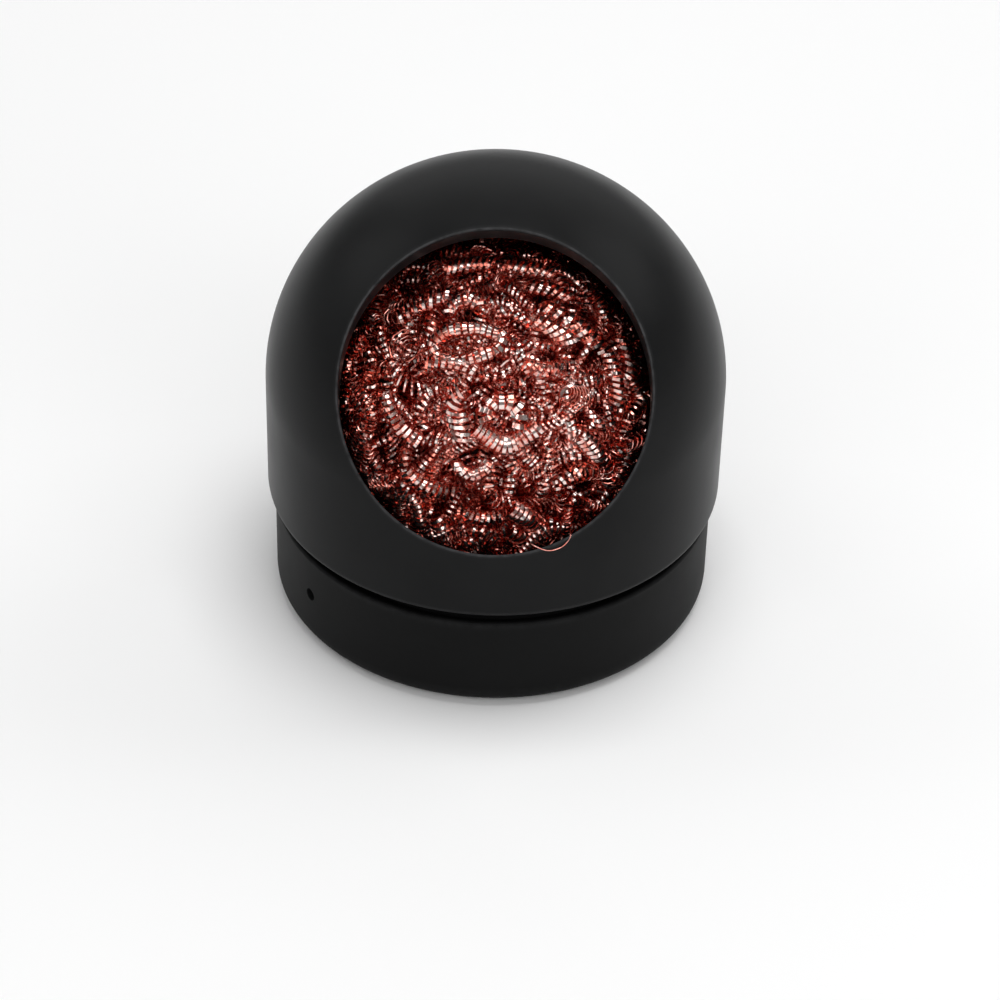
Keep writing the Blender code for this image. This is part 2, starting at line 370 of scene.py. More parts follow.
def drift_group() -> bpy.types.NodeTree:
    """A slow drift between two tones.

    Returns:
        The node group.
    """
    tree = new_group(
        "tone_drift",
        {"Scale": Socket.NUMBER, "Tone A": Socket.COLOUR, "Tone B": Socket.COLOUR},
        {"Color": Socket.COLOUR},
    )
    source = tree.nodes["in"]
    patches = noise(tree, FINE_OCTAVES)
    spread = add_node(tree, "MapRange", TONE_BAND)
    mix = add_node(tree, "Mix", data_type="RGBA")
    connect(
        tree,
        (source, "Scale", patches, "Scale"),
        (patches, "Fac", spread, "Value"),
        (spread, "Result", mix, "Factor"),
        (source, "Tone A", mix, "A"),
        (source, "Tone B", mix, "B"),
        (mix, "Result", tree.nodes["out"], "Color"),
    )
    return tree


def wear_and_highlight_group() -> bpy.types.NodeTree:
    """A lighter tone along edges and curl crests, broken up by fine noise: partly handling wear, partly a
    painted highlight.

    Returns:
        The node group.
    """
    colours = {"Color": Socket.COLOUR, "Worn And Highlight Color": Socket.COLOUR}
    numbers = {"Amount": Socket.NUMBER, "Bare Below": Socket.NUMBER}
    tree = new_group("edge_wear_and_highlight", colours | numbers, {"Color": Socket.COLOUR})
    source = tree.nodes["in"]
    layer = add_node(tree, "Attribute", attribute_name=WEAR_AND_HIGHLIGHT_LAYER)
    breaks = noise(tree, SLOW_OCTAVES, BREAK_SCALE)
    spread = add_node(tree, "MapRange", BREAK_TOP)
    broken = add_node(tree, "Math", operation="MULTIPLY")
    share = add_node(tree, "Math", operation="MULTIPLY")
    mix = add_node(tree, "Mix", data_type="RGBA")
    connect(
        tree,
        (breaks, "Fac", spread, "Value"),
        (source, "Bare Below", spread, "From Min"),
        (layer, "Fac", broken, 0),
        (spread, "Result", broken, 1),
        (broken, "Value", share, 0),
        (source, "Amount", share, 1),
        (share, "Value", mix, "Factor"),
        (source, "Color", mix, "A"),
        (source, "Worn And Highlight Color", mix, "B"),
        (mix, "Result", tree.nodes["out"], "Color"),
    )
    return tree


@dataclass
class GroupShelf:
    """The node groups that the finishes share, each made once."""

    grain: bpy.types.NodeTree = field(default_factory=grain_group)
    drift: bpy.types.NodeTree = field(default_factory=drift_group)
    wear_and_highlight: bpy.types.NodeTree = field(default_factory=wear_and_highlight_group)


# Finishes


@dataclass(frozen=True)
class Finish:
    """A surface finish with drifting tone, fine grain, and worn edges that also carry painted highlights.

    Tones are linear red, green and blue; scales are waves per metre.
    """

    name: str
    tone: Triple
    second_tone: Triple
    worn_and_highlight_tone: Triple
    gloss: Pair
    grain_scale: float
    grain_depth: float
    drift_scale: float
    wear_and_highlight: float
    metallic: float = 1.0
    specular: float = 0.5
    wear_and_highlight_breaks: float = 0.38

    def material(self, shelf: GroupShelf) -> bpy.types.Material:
        """Builds the finish as a material.

        Args:
            shelf: The shared node groups.

        Returns:
            The material.
        """
        material = bpy.data.materials.new(self.name)
        material.use_nodes = True
        tree = material.node_tree
        shader = tree.nodes["Principled BSDF"]
        shader.inputs["Metallic"].default_value = self.metallic
        shader.inputs["Specular IOR Level"].default_value = self.specular
        tones = {"Tone A": (*self.tone, 1.0), "Tone B": (*self.second_tone, 1.0)}
        drift = add_node(tree, "Group", tones | {"Scale": self.drift_scale}, node_tree=shelf.drift)
        rub_and_highlight = {"Worn And Highlight Color": (*self.worn_and_highlight_tone, 1.0), "Amount": self.wear_and_highlight, "Bare Below": self.wear_and_highlight_breaks}
        wear_and_highlight = add_node(tree, "Group", rub_and_highlight, node_tree=shelf.wear_and_highlight)
        gloss = {"Gloss Low": self.gloss[0], "Gloss High": self.gloss[1]}
        grain = add_node(tree, "Group", gloss | {"Scale": self.grain_scale}, node_tree=shelf.grain)
        bump = add_node(tree, "Bump", {"Strength": 1.0, "Distance": self.grain_depth})
        connect(
            tree,
            (drift, "Color", wear_and_highlight, "Color"),
            (wear_and_highlight, "Color", shader, "Base Color"),
            (grain, "Roughness", shader, "Roughness"),
            (grain, "Height", bump, "Height"),
            (bump, "Normal", shader, "Normal"),
        )
        return material


# The worn tone lightens the casing's edges: handling wear, and a painted highlight along the mouth's lip and
# the lower edges.
SATIN_BLACK = Finish(
    name="satin_black_casing",
    tone=(0.009, 0.0091, 0.0094),
    second_tone=(0.012, 0.0122, 0.0125),
    worn_and_highlight_tone=(0.085, 0.085, 0.088),
    gloss=(0.3, 0.36),
    grain_scale=5200.0,
    grain_depth=0.000006,
    drift_scale=60.0,
    wear_and_highlight=0.5,
    metallic=0.0,
    specular=0.055,
    wear_and_highlight_breaks=0.2,
)
SATIN_BLACK_BASE = replace(
    SATIN_BLACK,
    name="satin_black_base",
    tone=(0.0045, 0.0046, 0.0047),
    second_tone=(0.006, 0.0061, 0.0062),
    gloss=(0.5, 0.56),
    specular=0.07,
    wear_and_highlight=0.12,
)
BLACK_RUBBER = Finish(
    name="black_rubber",
    tone=(0.004, 0.004, 0.004),
    second_tone=(0.007, 0.007, 0.007),
    worn_and_highlight_tone=(0.02, 0.02, 0.02),
    gloss=(0.7, 0.85),
    grain_scale=2600.0,
    grain_depth=0.00002,
    drift_scale=150.0,
    wear_and_highlight=0.5,
    metallic=0.0,
    specular=0.1,
)
BLACKENED_STEEL = Finish(
    name="blackened_steel_screw",
    tone=(0.018, 0.018, 0.019),
    second_tone=(0.035, 0.034, 0.033),
    worn_and_highlight_tone=(0.16, 0.16, 0.16),
    gloss=(0.3, 0.45),
    grain_scale=4000.0,
    grain_depth=0.000008,
    drift_scale=900.0,
    wear_and_highlight=0.6,
)
# Bright copper; its pale pink worn tone paints the highlights on the curls' crests.
COPPER_RIBBON = Finish(
    name="bright_copper_ribbon",
    tone=(0.81, 0.265, 0.195),
    second_tone=(0.68, 0.16, 0.115),
    worn_and_highlight_tone=(0.95, 0.8, 0.75),
    gloss=(0.1, 0.2),
    grain_scale=6000.0,
    grain_depth=0.000008,
    drift_scale=220.0,
    wear_and_highlight=1.0,
)
# Painted shade: a darker, redder copy of the bright copper for the deeper layers, standing in for the shade
# inside the ball.
COPPER_SHADED_DEEP = replace(
    COPPER_RIBBON,
    name="shaded_deep_copper_ribbon",
    tone=(0.78, 0.11, 0.075),
    second_tone=(0.62, 0.06, 0.042),
    worn_and_highlight_tone=(0.8, 0.26, 0.2),
    gloss=(0.24, 0.36),
    wear_and_highlight=0.6,
)
# Painted shade: the packed middle is coloured near-black red for the shade deep inside the ball.
COPPER_SHADE = Finish(
    name="packed_copper_inside",
    tone=(0.045, 0.006, 0.005),
    second_tone=(0.03, 0.0045, 0.004),
    worn_and_highlight_tone=(0.045, 0.006, 0.005),
    gloss=(0.4, 0.6),
    grain_scale=900.0,
    grain_depth=0.0005,
    drift_scale=500.0,
    wear_and_highlight=0.0,
    metallic=0.2,
)


@dataclass
class Piece:
    """A finished piece and where it belongs on the part."""

    obj: bpy.types.Object
    body: str
    slot: str
    nodes: tuple[str, ...]

    def place(self, material: bpy.types.Material) -> None:
        """Dresses the piece, lets it ride on its body and hides what it stands for.

        Args:
            material: The piece's finish.
        """
        self.obj.data.materials.clear()
        self.obj.data.materials.append(material)
        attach(self.obj, self.body)
        if self.nodes:
            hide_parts(*self.nodes)
        LOG.info("%s rides on %s with %d faces", self.obj.name, self.body, len(self.obj.data.polygons))


# Casing


@dataclass
class Hood:
    """The domed shell, with a spigot below and a slanting mouth in front.

    The search for the shell runs along the mouth's axis between the limits of mouth_search. Rows crowd
    towards the mouth by the power row_crowding. Between the shares of the lip's highlight band, the lip's
    rounded edge takes the full worn tone as a painted highlight.
    """

    radius: float = 28.0 * MM
    wall: float = 3.6 * MM
    shoulder_z: float = 14.75 * MM
    dome_centre_z: float = 29.9 * MM
    dome_height: float = 27.1 * MM
    edge_round: float = 0.8 * MM
    spigot_radius: float = 24.9 * MM
    spigot_wall: float = 1.2 * MM
    spigot_end_z: float = 4.9 * MM
    spigot_chamfer: float = 0.25 * MM
    shelf: float = 1.2 * MM
    mouth_radius: float = 18.2 * MM
    mouth_pitch: float = math.radians(48.0)
    mouth_axis_z: float = 20.6 * MM
    mouth_search: Pair = (5.0 * MM, 60.0 * MM)
    search_steps: int = 50
    lip_round: float = 0.45 * MM
    lip_steps: int = 8
    lip_highlight_band: Pair = (0.3, 0.8)
    inner_lip_round: float = 0.4 * MM
    inner_lip_steps: int = 4
    bore_steps: int = 6
    around: int = 256
    outer_rows: int = 72
    inner_rows: int = 20
    row_crowding: float = 1.2
    slope_steps: int = 600

    def inside(self, amount: float) -> Pair:
        """Radius and dome height of the shell's surface at a depth below the outside."""
        return self.radius - amount, self.dome_height - amount

    def mouth_point(self, theta: np.ndarray, reach: float | np.ndarray, along: np.ndarray) -> np.ndarray:
        """Points round the mouth's axis.

        Args:
            theta: Angles round the axis.
            reach: Distance from the axis, one for all or a column.
            along: Distances along the axis.

        Returns:
            An array of points.
        """
        out = np.array((0.0, -math.cos(self.mouth_pitch), math.sin(self.mouth_pitch)))
        side = np.array((1.0, 0.0, 0.0))
        rise = np.array((0.0, math.sin(self.mouth_pitch), math.cos(self.mouth_pitch)))
        start = np.array((0.0, 0.0, self.mouth_axis_z))
        ring = np.cos(theta)[:, None] * side + np.sin(theta)[:, None] * rise
        return start + reach * ring + along[:, None] * out

    def rim(
        self, theta: np.ndarray, reach: float | np.ndarray, depth: float
    ) -> tuple[np.ndarray, np.ndarray]:
        """Where lines along the mouth's axis come out through the shell.

        Args:
            theta: Angles round the mouth's axis.
            reach: Distance from the axis, one for all or a column.
            depth: Depth of the surface below the shell's outside.

        Returns:
            The points and their distances along the axis.
        """
        radius, height = self.inside(depth)
        low, high = (np.full(len(theta), limit) for limit in self.mouth_search)
        for _ in range(self.search_steps):
            middle = (low + high) / 2.0
            p = self.mouth_point(theta, reach, middle)
            above = np.maximum(p[:, 2] - self.dome_centre_z, 0.0)
            within = (p[:, 0] ** 2 + p[:, 1] ** 2) / radius**2 + (above / height) ** 2 < 1.0
            low = np.where(within, middle, low)
            high = np.where(within, high, middle)
        return self.mouth_point(theta, reach, low), low

    def unrolled_rows(self, edge: np.ndarray, depth: float, end_z: float, rows: int) -> list[np.ndarray]:
        """Rows of points over the shell, from a closed line round the mouth down to a level circle.

        The shell is unrolled about its top, so that straight rays from the mouth's middle cover it once.

        Args:
            edge: Points round the mouth.
            depth: Depth of the surface below the shell's outside.
            end_z: Height of the level circle.
            rows: Number of steps.

        Returns:
            The rows, both ends included.
        """
        radius, height = self.inside(depth)
        slope = np.linspace(0.0, math.pi / 2.0, self.slope_steps)
        line_r = np.append(radius * np.sin(slope), radius)
        line_z = np.append(self.dome_centre_z + height * np.cos(slope), end_z)
        length = np.append(0.0, np.cumsum(np.hypot(np.diff(line_r), np.diff(line_z))))
        along = np.interp(-edge[:, 2], -line_z, length)
        turn = np.arctan2(edge[:, 1], edge[:, 0])
        flat = along[:, None] * np.column_stack((np.cos(turn), np.sin(turn)))
        middle = flat.mean(axis=0)
        ray = unit(flat - middle)
        lean = ray @ middle
        far = -lean + np.sqrt(lean**2 + length[-1] ** 2 - middle @ middle)
        near = np.linalg.norm(flat - middle, axis=1)
        result = []
        for k in range(rows + 1):
            share = (k / rows) ** self.row_crowding
            spot = middle + ray * (near + (far - near) * share)[:, None]
            reach = np.linalg.norm(spot, axis=1)
            around = np.arctan2(spot[:, 1], spot[:, 0])
            r = np.interp(reach, length, line_r)
            result.append(about_z(r, around, np.interp(reach, length, line_z)))
        return result

    def skirt(self) -> list[Triple]:
        """Outline of the hood's lower edge and spigot, from the outside round to the inside."""
        inner = self.spigot_radius - self.spigot_wall
        cut = self.spigot_chamfer
        edge = (self.radius - self.edge_round, self.shoulder_z + self.edge_round)
        return [
            # The rounded lower edge takes a little worn tone as a painted highlight.
            *with_wear_and_highlight(arc(edge, self.edge_round, -15, -90, 5), 0.15),
            (self.spigot_radius + cut, self.shoulder_z, 0.0),
            (self.spigot_radius, self.shoulder_z - cut, 0.0),
            (self.spigot_radius, self.spigot_end_z + cut, 0.3),
            (self.spigot_radius - cut, self.spigot_end_z, 1.0),
            (inner + cut, self.spigot_end_z, 1.0),
            (inner, self.spigot_end_z + cut, 0.3),
            (inner, self.shoulder_z + self.shelf, 0.0),
        ]

    def rings(self) -> tuple[list[np.ndarray], list[float]]:
        """The shell's rings, from the mouth over the outside and back through the spigot to the mouth.

        Returns:
            The rings and the worn tone of each, which on the lip and the lower edge is a painted highlight.
        """
        theta = np.arange(self.around) * math.tau / self.around
        step = (self.radius - self.wall) - (self.spigot_radius - self.spigot_wall)
        shelf_top = self.shoulder_z + self.shelf + step
        lip_out, _ = self.rim(theta, self.mouth_radius + self.lip_round, 0.0)
        outer = self.unrolled_rows(lip_out, 0.0, self.shoulder_z + self.edge_round, self.outer_rows)
        inner_edge, _ = self.rim(theta, self.mouth_radius + self.inner_lip_round, self.wall)
        inner = self.unrolled_rows(inner_edge, self.wall, shelf_top, self.inner_rows)[::-1]
        rings = list(outer)
        wear_and_highlight = [0.15] + [0.0] * (len(outer) - 2) + [0.1]
        first = np.unwrap(np.arctan2(outer[-1][:, 1], outer[-1][:, 0]))
        last = np.unwrap(np.arctan2(inner[0][:, 1], inner[0][:, 0]))
        last += math.tau * np.round((first[0] - last[0]) / math.tau)
        skirt = self.skirt()
        for k, (r, z, rub_and_highlight) in enumerate(skirt):
            turn = first + (last - first) * (k + 1) / (len(skirt) + 1)
            rings.append(about_z(r, turn, z))
            wear_and_highlight.append(rub_and_highlight)
        rings += inner
        wear_and_highlight += [0.0] * len(inner)
        for ring, rub_and_highlight in self.bore(theta, lip_out, inner_edge):
            rings.append(ring)
            wear_and_highlight.append(rub_and_highlight)
        return rings, wear_and_highlight

    def bore(
        self, theta: np.ndarray, lip_out: np.ndarray, inner_edge: np.ndarray
    ) -> list[tuple[np.ndarray, float]]:
        """Rings of the mouth's wall, with a rounded edge at each end.

        Args:
            theta: Angles round the mouth's axis.
            lip_out: Where the outer rounding starts.
            inner_edge: Where the inner rounding starts.

        Returns:
            Rings from the inside out, each with its worn tone, which on the lip's rounding is a painted
            highlight.
        """
        outer_corner, outer_along = self.rim(theta, self.mouth_radius, 0.0)
        inner_corner, inner_along = self.rim(theta, self.mouth_radius, self.wall)
        wall_low = self.mouth_point(theta, self.mouth_radius, inner_along + self.inner_lip_round)
        wall_high = self.mouth_point(theta, self.mouth_radius, outer_along - self.lip_round)
        low, high = self.lip_highlight_band
        result = []
        for t in np.linspace(0.0, 1.0, self.inner_lip_steps + 1)[1:]:
            result.append((rounded(inner_edge, inner_corner, wall_low, t), 0.1))
        for t in np.linspace(0.0, 1.0, self.bore_steps + 1)[1:]:
            result.append((wall_low + (wall_high - wall_low) * t, 0.1 * t**4))
        for t in np.linspace(0.0, 1.0, self.lip_steps + 1)[1:-1]:
            # The lip's rounding takes the full worn tone within the band: a painted highlight along the edge.
            result.append((rounded(wall_high, outer_corner, lip_out, t), 1.0 if low < t < high else 0.2))
        return result

    def build(self) -> Piece:
        """Builds the hood.

        Returns:
            The hood as a piece of its body.
        """
        rings, wear_and_highlight = self.rings()
        return Piece(loft("hood_shell", rings, wear_and_highlight, Ends.JOINED), "hood", "black_casing", ("hood",))


@dataclass
class Base:
    """The turned cup that the hood stands in, with the set screw's hole in its wall."""

    radius: float = 27.1 * MM
    bore_radius: float = 25.2 * MM
    bottom_z: float = 0.5 * MM
    rim_z: float = 13.0 * MM
    floor_z: float = 4.2 * MM
    recess_radius: float = 22.5 * MM
    recess_top_z: float = 1.8 * MM
    recess_chamfer: float = 0.2 * MM
    foot_round: float = 1.6 * MM
    rim_round: float = 0.35 * MM
    rim_width: float = 0.55 * MM
    rim_fall: float = 0.8 * MM
    axis_gap: float = 0.5 * MM
    hole_radius: float = 0.8 * MM
    hole_flare: float = 0.05 * MM
    flare_depth: float = 0.06 * MM
    hole_sides: int = 40
    cutter_gap: float = 0.02 * MM
    cutter_spare: float = 2.0 * MM
    wall_rows: int = 14
    around: int = 192

    def outline(self) -> list[Triple]:
        """The cup's outline from under its middle, round the outside, to its floor's middle."""
        cut = self.recess_chamfer
        low = self.bottom_z + self.foot_round
        high = self.rim_z - self.rim_round
        rows = self.wall_rows
        return [
            (self.axis_gap, self.recess_top_z, 0.0),
            (self.recess_radius, self.recess_top_z, 0.0),
            (self.recess_radius, self.bottom_z + cut, 0.0),
            (self.recess_radius + cut, self.bottom_z, 0.4),
            *with_wear_and_highlight(arc((self.radius - self.foot_round, low), self.foot_round, -90, 0, 10), 0.35),
            *with_wear_and_highlight([(self.radius, low + (high - low) * k / rows) for k in range(1, rows)], 0.0),
            # The rim's rounding takes the worn tone partly as handling wear, partly as a painted highlight.
            *with_wear_and_highlight(arc((self.radius - self.rim_round, high), self.rim_round, 0, 90, 6), 0.6),
            (self.radius - self.rim_width, self.rim_z, 0.0),
            (self.bore_radius, self.rim_z - self.rim_fall, 0.0),
            (self.bore_radius, self.floor_z, 0.0),
            (self.axis_gap, self.floor_z, 0.0),
        ]

    def hole_cutter(self, axis: Vector, height: float) -> bpy.types.Object:
        """A cutter for the screw's hole, flared where it meets the outside.

        Args:
            axis: The hole's direction, outwards.
            height: Its height.

        Returns:
            The cutter.
        """
        start = self.bore_radius - self.cutter_spare
        end = self.radius + self.cutter_spare
        mouth = self.hole_radius + self.hole_flare
        outline = [
            (self.cutter_gap, start),
            (self.hole_radius, start),
            (self.hole_radius, self.radius - self.flare_depth),
            (mouth, self.radius + self.hole_flare),
            (mouth, end),
            (self.cutter_gap, end),
        ]
        cutter = turned("hole_cutter", with_wear_and_highlight(outline, 0.0), self.hole_sides, Ends.CAPPED)
        turn = axis.to_track_quat("Z", "Y").to_matrix().to_4x4()
        cutter.matrix_world = Matrix.Translation((0.0, 0.0, height)) @ turn
        return cutter

    def build(self, screw_axis: Vector, screw_z: float) -> Piece:
        """Builds the cup.

        Args:
            screw_axis: Direction of the set screw, outwards.
            screw_z: Its height.

        Returns:
            The cup as a piece of its body.
        """
        cup = turned("base_shell", self.outline(), self.around, Ends.CAPPED)
        carve(cup, self.hole_cutter(screw_axis, screw_z))
        return Piece(cup, "base", "black_casing", ("base_cup",))


@dataclass
class SealRing:
    """The rubber ring in the groove between hood and base."""

    inner_radius: float = 25.2 * MM
    width: float = 0.65 * MM
    low_z: float = 13.3 * MM
    high_z: float = 14.45 * MM
    around: int = 192

    def build(self) -> Piece:
        """Builds the ring with a rounded outer side.

        Returns:
            The ring as a piece of its body.
        """
        half = (self.high_z - self.low_z) / 2.0
        corner = half / 2.0
        middle = (self.low_z + self.high_z) / 2.0
        outer = self.inner_radius + self.width
        outline = with_wear_and_highlight(arc((outer - half, middle), half, -90, 90, 10), 0.2)
        for lift, start in ((corner, 90), (-corner, 180)):
            centre = (self.inner_radius + corner, middle + lift)
            outline += with_wear_and_highlight(arc(centre, corner, start, start + 90, 4), 0.0)
        ring = turned("seal_ring", outline, self.around, Ends.JOINED)
        return Piece(ring, "friction_ring", "black_rubber", ("friction_ring",))


@dataclass
class Foot:
    """The non-slip disc under the base, moulded with shallow ring grooves.

    A groove's floor takes the share groove_floor of its width.
    """

    radius: float = 22.2 * MM
    top_z: float = 1.5 * MM
    edge_round: float = 0.4 * MM
    groove_depth: float = 0.25 * MM
    groove_width: float = 0.9 * MM
    groove_floor: float = 0.6
    groove_radii: Triple = (7.0 * MM, 11.5 * MM, 16.0 * MM)
    axis_gap: float = 0.5 * MM
    around: int = 144

    def build(self) -> Piece:
        """Builds the disc.

        Returns:
            The disc as a piece of its body.
        """
        half = self.groove_width / 2.0
        floor = half * self.groove_floor
        outline = with_wear_and_highlight([(self.axis_gap, 0.0)], 0.0)
        for middle in self.groove_radii:
            outline += with_wear_and_highlight([(middle - half, 0.0), (middle - floor, self.groove_depth)], 0.2)
            outline += with_wear_and_highlight([(middle + floor, self.groove_depth), (middle + half, 0.0)], 0.2)
        edge = (self.radius - self.edge_round, self.edge_round)
        outline += with_wear_and_highlight(arc(edge, self.edge_round, -90, 0, 5), 0.8)
        outline += with_wear_and_highlight([(self.radius, self.top_z), (self.axis_gap, self.top_z)], 0.0)
        disc = turned("foot_disc", outline, self.around, Ends.CAPPED)
        return Piece(disc, "base", "black_rubber", ("foot_pad",))


@dataclass
class SetScrew:
    """The headless screw in the base's wall, with threads and a hexagon socket."""

    radius: float = 0.65 * MM
    length: float = 1.2 * MM
    point: float = 0.2 * MM
    end_chamfer: float = 0.15 * MM
    thread_pitch: float = 0.35 * MM
    thread_depth: float = 0.08 * MM
    socket_across: float = 0.65 * MM
    socket_depth: float = 0.5 * MM
    socket_spare: float = 1.0 * MM
    tip_radius: float = 25.2 * MM
    axis_gap: float = 0.05 * MM
    around: int = 48

    def build(self, axis: Vector, height: float) -> Piece:
        """Builds the screw along its radial axis.

        Args:
            axis: The screw's direction, outwards.
            height: Its height.

        Returns:
            The screw as a piece of its body.
        """
        root = self.radius - self.thread_depth
        cut = self.end_chamfer
        outline = with_wear_and_highlight([(self.axis_gap, 0.0), (self.radius - self.point, 0.0)], 0.0)
        turns = int((self.length - 2.0 * self.point) / self.thread_pitch)
        for k in range(turns):
            z = self.point + k * self.thread_pitch
            outline += with_wear_and_highlight([(root, z), (self.radius, z + self.thread_pitch / 2.0)], 0.3)
        outline += with_wear_and_highlight([(root, self.length - cut), (root - cut, self.length)], 1.0)
        outline += with_wear_and_highlight([(self.axis_gap, self.length)], 0.2)
        screw = turned("socket_screw", outline, self.around, Ends.CAPPED)
        corner = self.socket_across / math.sqrt(3.0)
        socket = [(corner, self.length - self.socket_depth), (corner, self.length + self.socket_spare)]
        carve(screw, turned("socket_cutter", with_wear_and_highlight(socket, 0.0), 6, Ends.CAPPED))
        place = Matrix.Translation(Vector((0.0, 0.0, height)) + axis * self.tip_radius)
        screw.data.transform(place @ axis.to_track_quat("Z", "Y").to_matrix().to_4x4())
        return Piece(screw, "base", "blackened_steel", ("set_screw",))


# Wire ball


@dataclass
class Strand:
    """One curled ribbon: the line that it coils round, the way out from the ball, and its winding.

    The curls grow from the first to the second radius along the strand, and lean along it by the skew.
    """

    line: np.ndarray
    outward: np.ndarray
    curl_radii: Pair
    pitch: float
    width: float
    hand: Hand
    phase: float
    skew: float


@dataclass(frozen=True)
class Curl:
    """How a strand on the face is wound: curl radius, distance between curls and ribbon width.

    Lengths are in millimetres.
    """

    radius: float
    pitch: float
    width: float
    hand: Hand = Hand.RIGHT


@dataclass(frozen=True)
class Wobble:
    """A wave along a strand or round a loop, shifted by a multiple of its phase."""

    height: float
    length: float
    shift: float

    def at(self, along: np.ndarray, phase: float) -> np.ndarray:
        """The wave's height at distances along a strand or angles round a loop."""
        return self.height * np.sin(along / self.length + self.shift * phase)


@dataclass(frozen=True)
class Winding:
    """How a flat ribbon winds round a strand's line, in uneven curls whose outer crests are painted bright:
    partly rub, partly a painted highlight pulled towards the mouth's side.
    """

    thickness: float = 0.07 * MM
    points_per_curl: int = 10
    slow_stretch: Wobble = Wobble(1.6, 2.3 * MM, 1.0)
    quick_stretch: Wobble = Wobble(0.3, 0.71 * MM, 0.0)
    growth: Wobble = Wobble(0.08, 1.3 * MM, 2.0)
    roll: Wobble = Wobble(0.4, 1.7 * MM, 3.0)
    skew_lag: float = 0.7
    front_highlight_pull: float = 2.0
    rub_and_highlight_gain: float = 1.3

    def curls(self, strand: Strand) -> tuple[np.ndarray, np.ndarray, np.ndarray, np.ndarray]:
        """Follows the curls round a strand's line.

        Args:
            strand: The strand.

        Returns:
            Distances along the line, and for each the curl's point, its spoke and the way out from the ball.
        """
        length = np.append(0.0, np.cumsum(np.linalg.norm(np.diff(strand.line, axis=0), axis=1)))
        count = int(length[-1] / strand.pitch * self.points_per_curl)
        along = np.linspace(0.0, length[-1], count)
        line = np.column_stack([np.interp(along, length, column) for column in strand.line.T])
        out = np.column_stack([np.interp(along, length, column) for column in strand.outward.T])
        tangent = unit(np.gradient(line, axis=0))
        out = square_to(out, tangent)
        side = np.cross(tangent, out)
        stretch = self.slow_stretch.at(along, strand.phase) + self.quick_stretch.at(along, strand.phase)
        turn = strand.phase + strand.hand.value * (math.tau * along / strand.pitch + stretch)
        radius = np.linspace(*strand.curl_radii, count) * (1.0 + self.growth.at(along, strand.phase))
        spoke = np.cos(turn)[:, None] * out + np.sin(turn)[:, None] * side
        lean = strand.skew * np.cos(turn + self.skew_lag)[:, None] * tangent
        return along, line + radius[:, None] * (spoke + lean), spoke, out

    def ribbon(self, strand: Strand, front: np.ndarray) -> tuple[np.ndarray, np.ndarray, np.ndarray]:
        """Lays a flat ribbon along a strand's curls.

        Args:
            strand: The strand.
            front: The side towards which the painted highlight on the crests is pulled.

        Returns:
            Its vertices, four to a section, its quads, and how far each vertex takes the bright tone of rub
            and painted highlight.
        """
        along, path, spoke, out = self.curls(strand)
        run = unit(np.gradient(path, axis=0))
        flat = square_to(spoke, run)
        edge = np.cross(run, flat)
        roll = self.roll.at(along, strand.phase)[:, None]
        face = np.cos(roll) * flat + np.sin(roll) * edge
        across = np.cos(roll) * edge - np.sin(roll) * flat
        half_w = strand.width / 2.0
        half_t = self.thickness / 2.0
        corners = [(half_w, half_t), (-half_w, half_t), (-half_w, -half_t), (half_w, -half_t)]
        verts = np.stack([path + across * w + face * t for w, t in corners], axis=1).reshape(-1, 3)
        first = np.arange(len(path) - 1)[:, None] * 4
        quads = []
        for a in range(4):
            b = (a + 1) % 4
            quads.append(np.hstack((first + a, first + b, first + 4 + b, first + 4 + a)))
        caps = np.array(((3, 2, 1, 0), tuple(np.arange(4) + (len(path) - 1) * 4)))
        # Painted highlight: the bright tone goes on each curl's outer crest, pulled towards the side facing
        # the mouth.
        rub_and_highlight_way = unit(out + self.front_highlight_pull * np.maximum(out @ front, 0.0)[:, None] * front)
        rub_and_highlight = np.clip(self.rub_and_highlight_gain * np.sum(spoke * rub_and_highlight_way, axis=1), 0.0, 1.0)
        return verts, np.vstack(quads + [caps]), np.outer(rub_and_highlight, (1.0, 1.0, 0.0, 0.0)).ravel()


@dataclass(frozen=True)
class Collar:
    """Strands that fill the ball out to the mouth's edge, inside the hood's wall.

    Angles are degrees round the mouth's axis, and the rate is the sway's radians for each radian round it.
    """

    strands: int = 28
    lanes: int = 8
    points: int = 90
    start: float = -200.0
    sweep: float = 185.0
    stray: Pair = (-10.0, 10.0)
    span: Pair = (25.0, 48.0)
    sway: Pair = (0.8 * MM, 2.0 * MM)
    rate: Pair = (8.0, 15.0)
    phase: Pair = (0.0, 6.0)
    reach: Pair = (15.6 * MM, 17.6 * MM)
    gap: Pair = (0.6 * MM, 2.0 * MM)
    taper: float = 0.9

    def laid(self, rng: np.random.Generator, hood: Hood, ball: WireBall) -> list[Strand]:
        """Lays the strands.

        Args:
            rng: The seeded source of chance.
            hood: The hood.
            ball: The ball that they fill out.

        Returns:
            The strands.
        """
        strands = []
        for k in range(self.strands):
            curl = rng.uniform(*ball.curl_radius)
            room = ball.laid_room * curl
            lane = self.start + self.sweep * (k % self.lanes) / self.lanes
            first = math.radians(lane + rng.uniform(*self.stray))
            theta = np.linspace(first, first + math.radians(rng.uniform(*self.span)), self.points)
            height = rng.uniform(*self.sway)
            sway = height * np.sin(rng.uniform(*self.rate) * theta + rng.uniform(*self.phase))
            reach = rng.uniform(*self.reach) + sway
            line, _ = hood.rim(theta, reach[:, None], hood.wall + rng.uniform(*self.gap) + room)
            away = np.hypot(line[:, 0], line[:, 1])
            line[:, :2] *= np.minimum(1.0, (ball.reach - room) / away)[:, None]
            outward = unit(line - np.array(ball.centre))
            pitch = rng.uniform(*ball.pitch)
            width = rng.uniform(*ball.ribbon_width)
            hand = Hand.LEFT if k % 2 else Hand.RIGHT
            curls = (curl, self.taper * curl)
            skew = rng.uniform(*ball.skew)
            strands.append(Strand(line, outward, curls, pitch, width, hand, float(k), skew))
        return strands


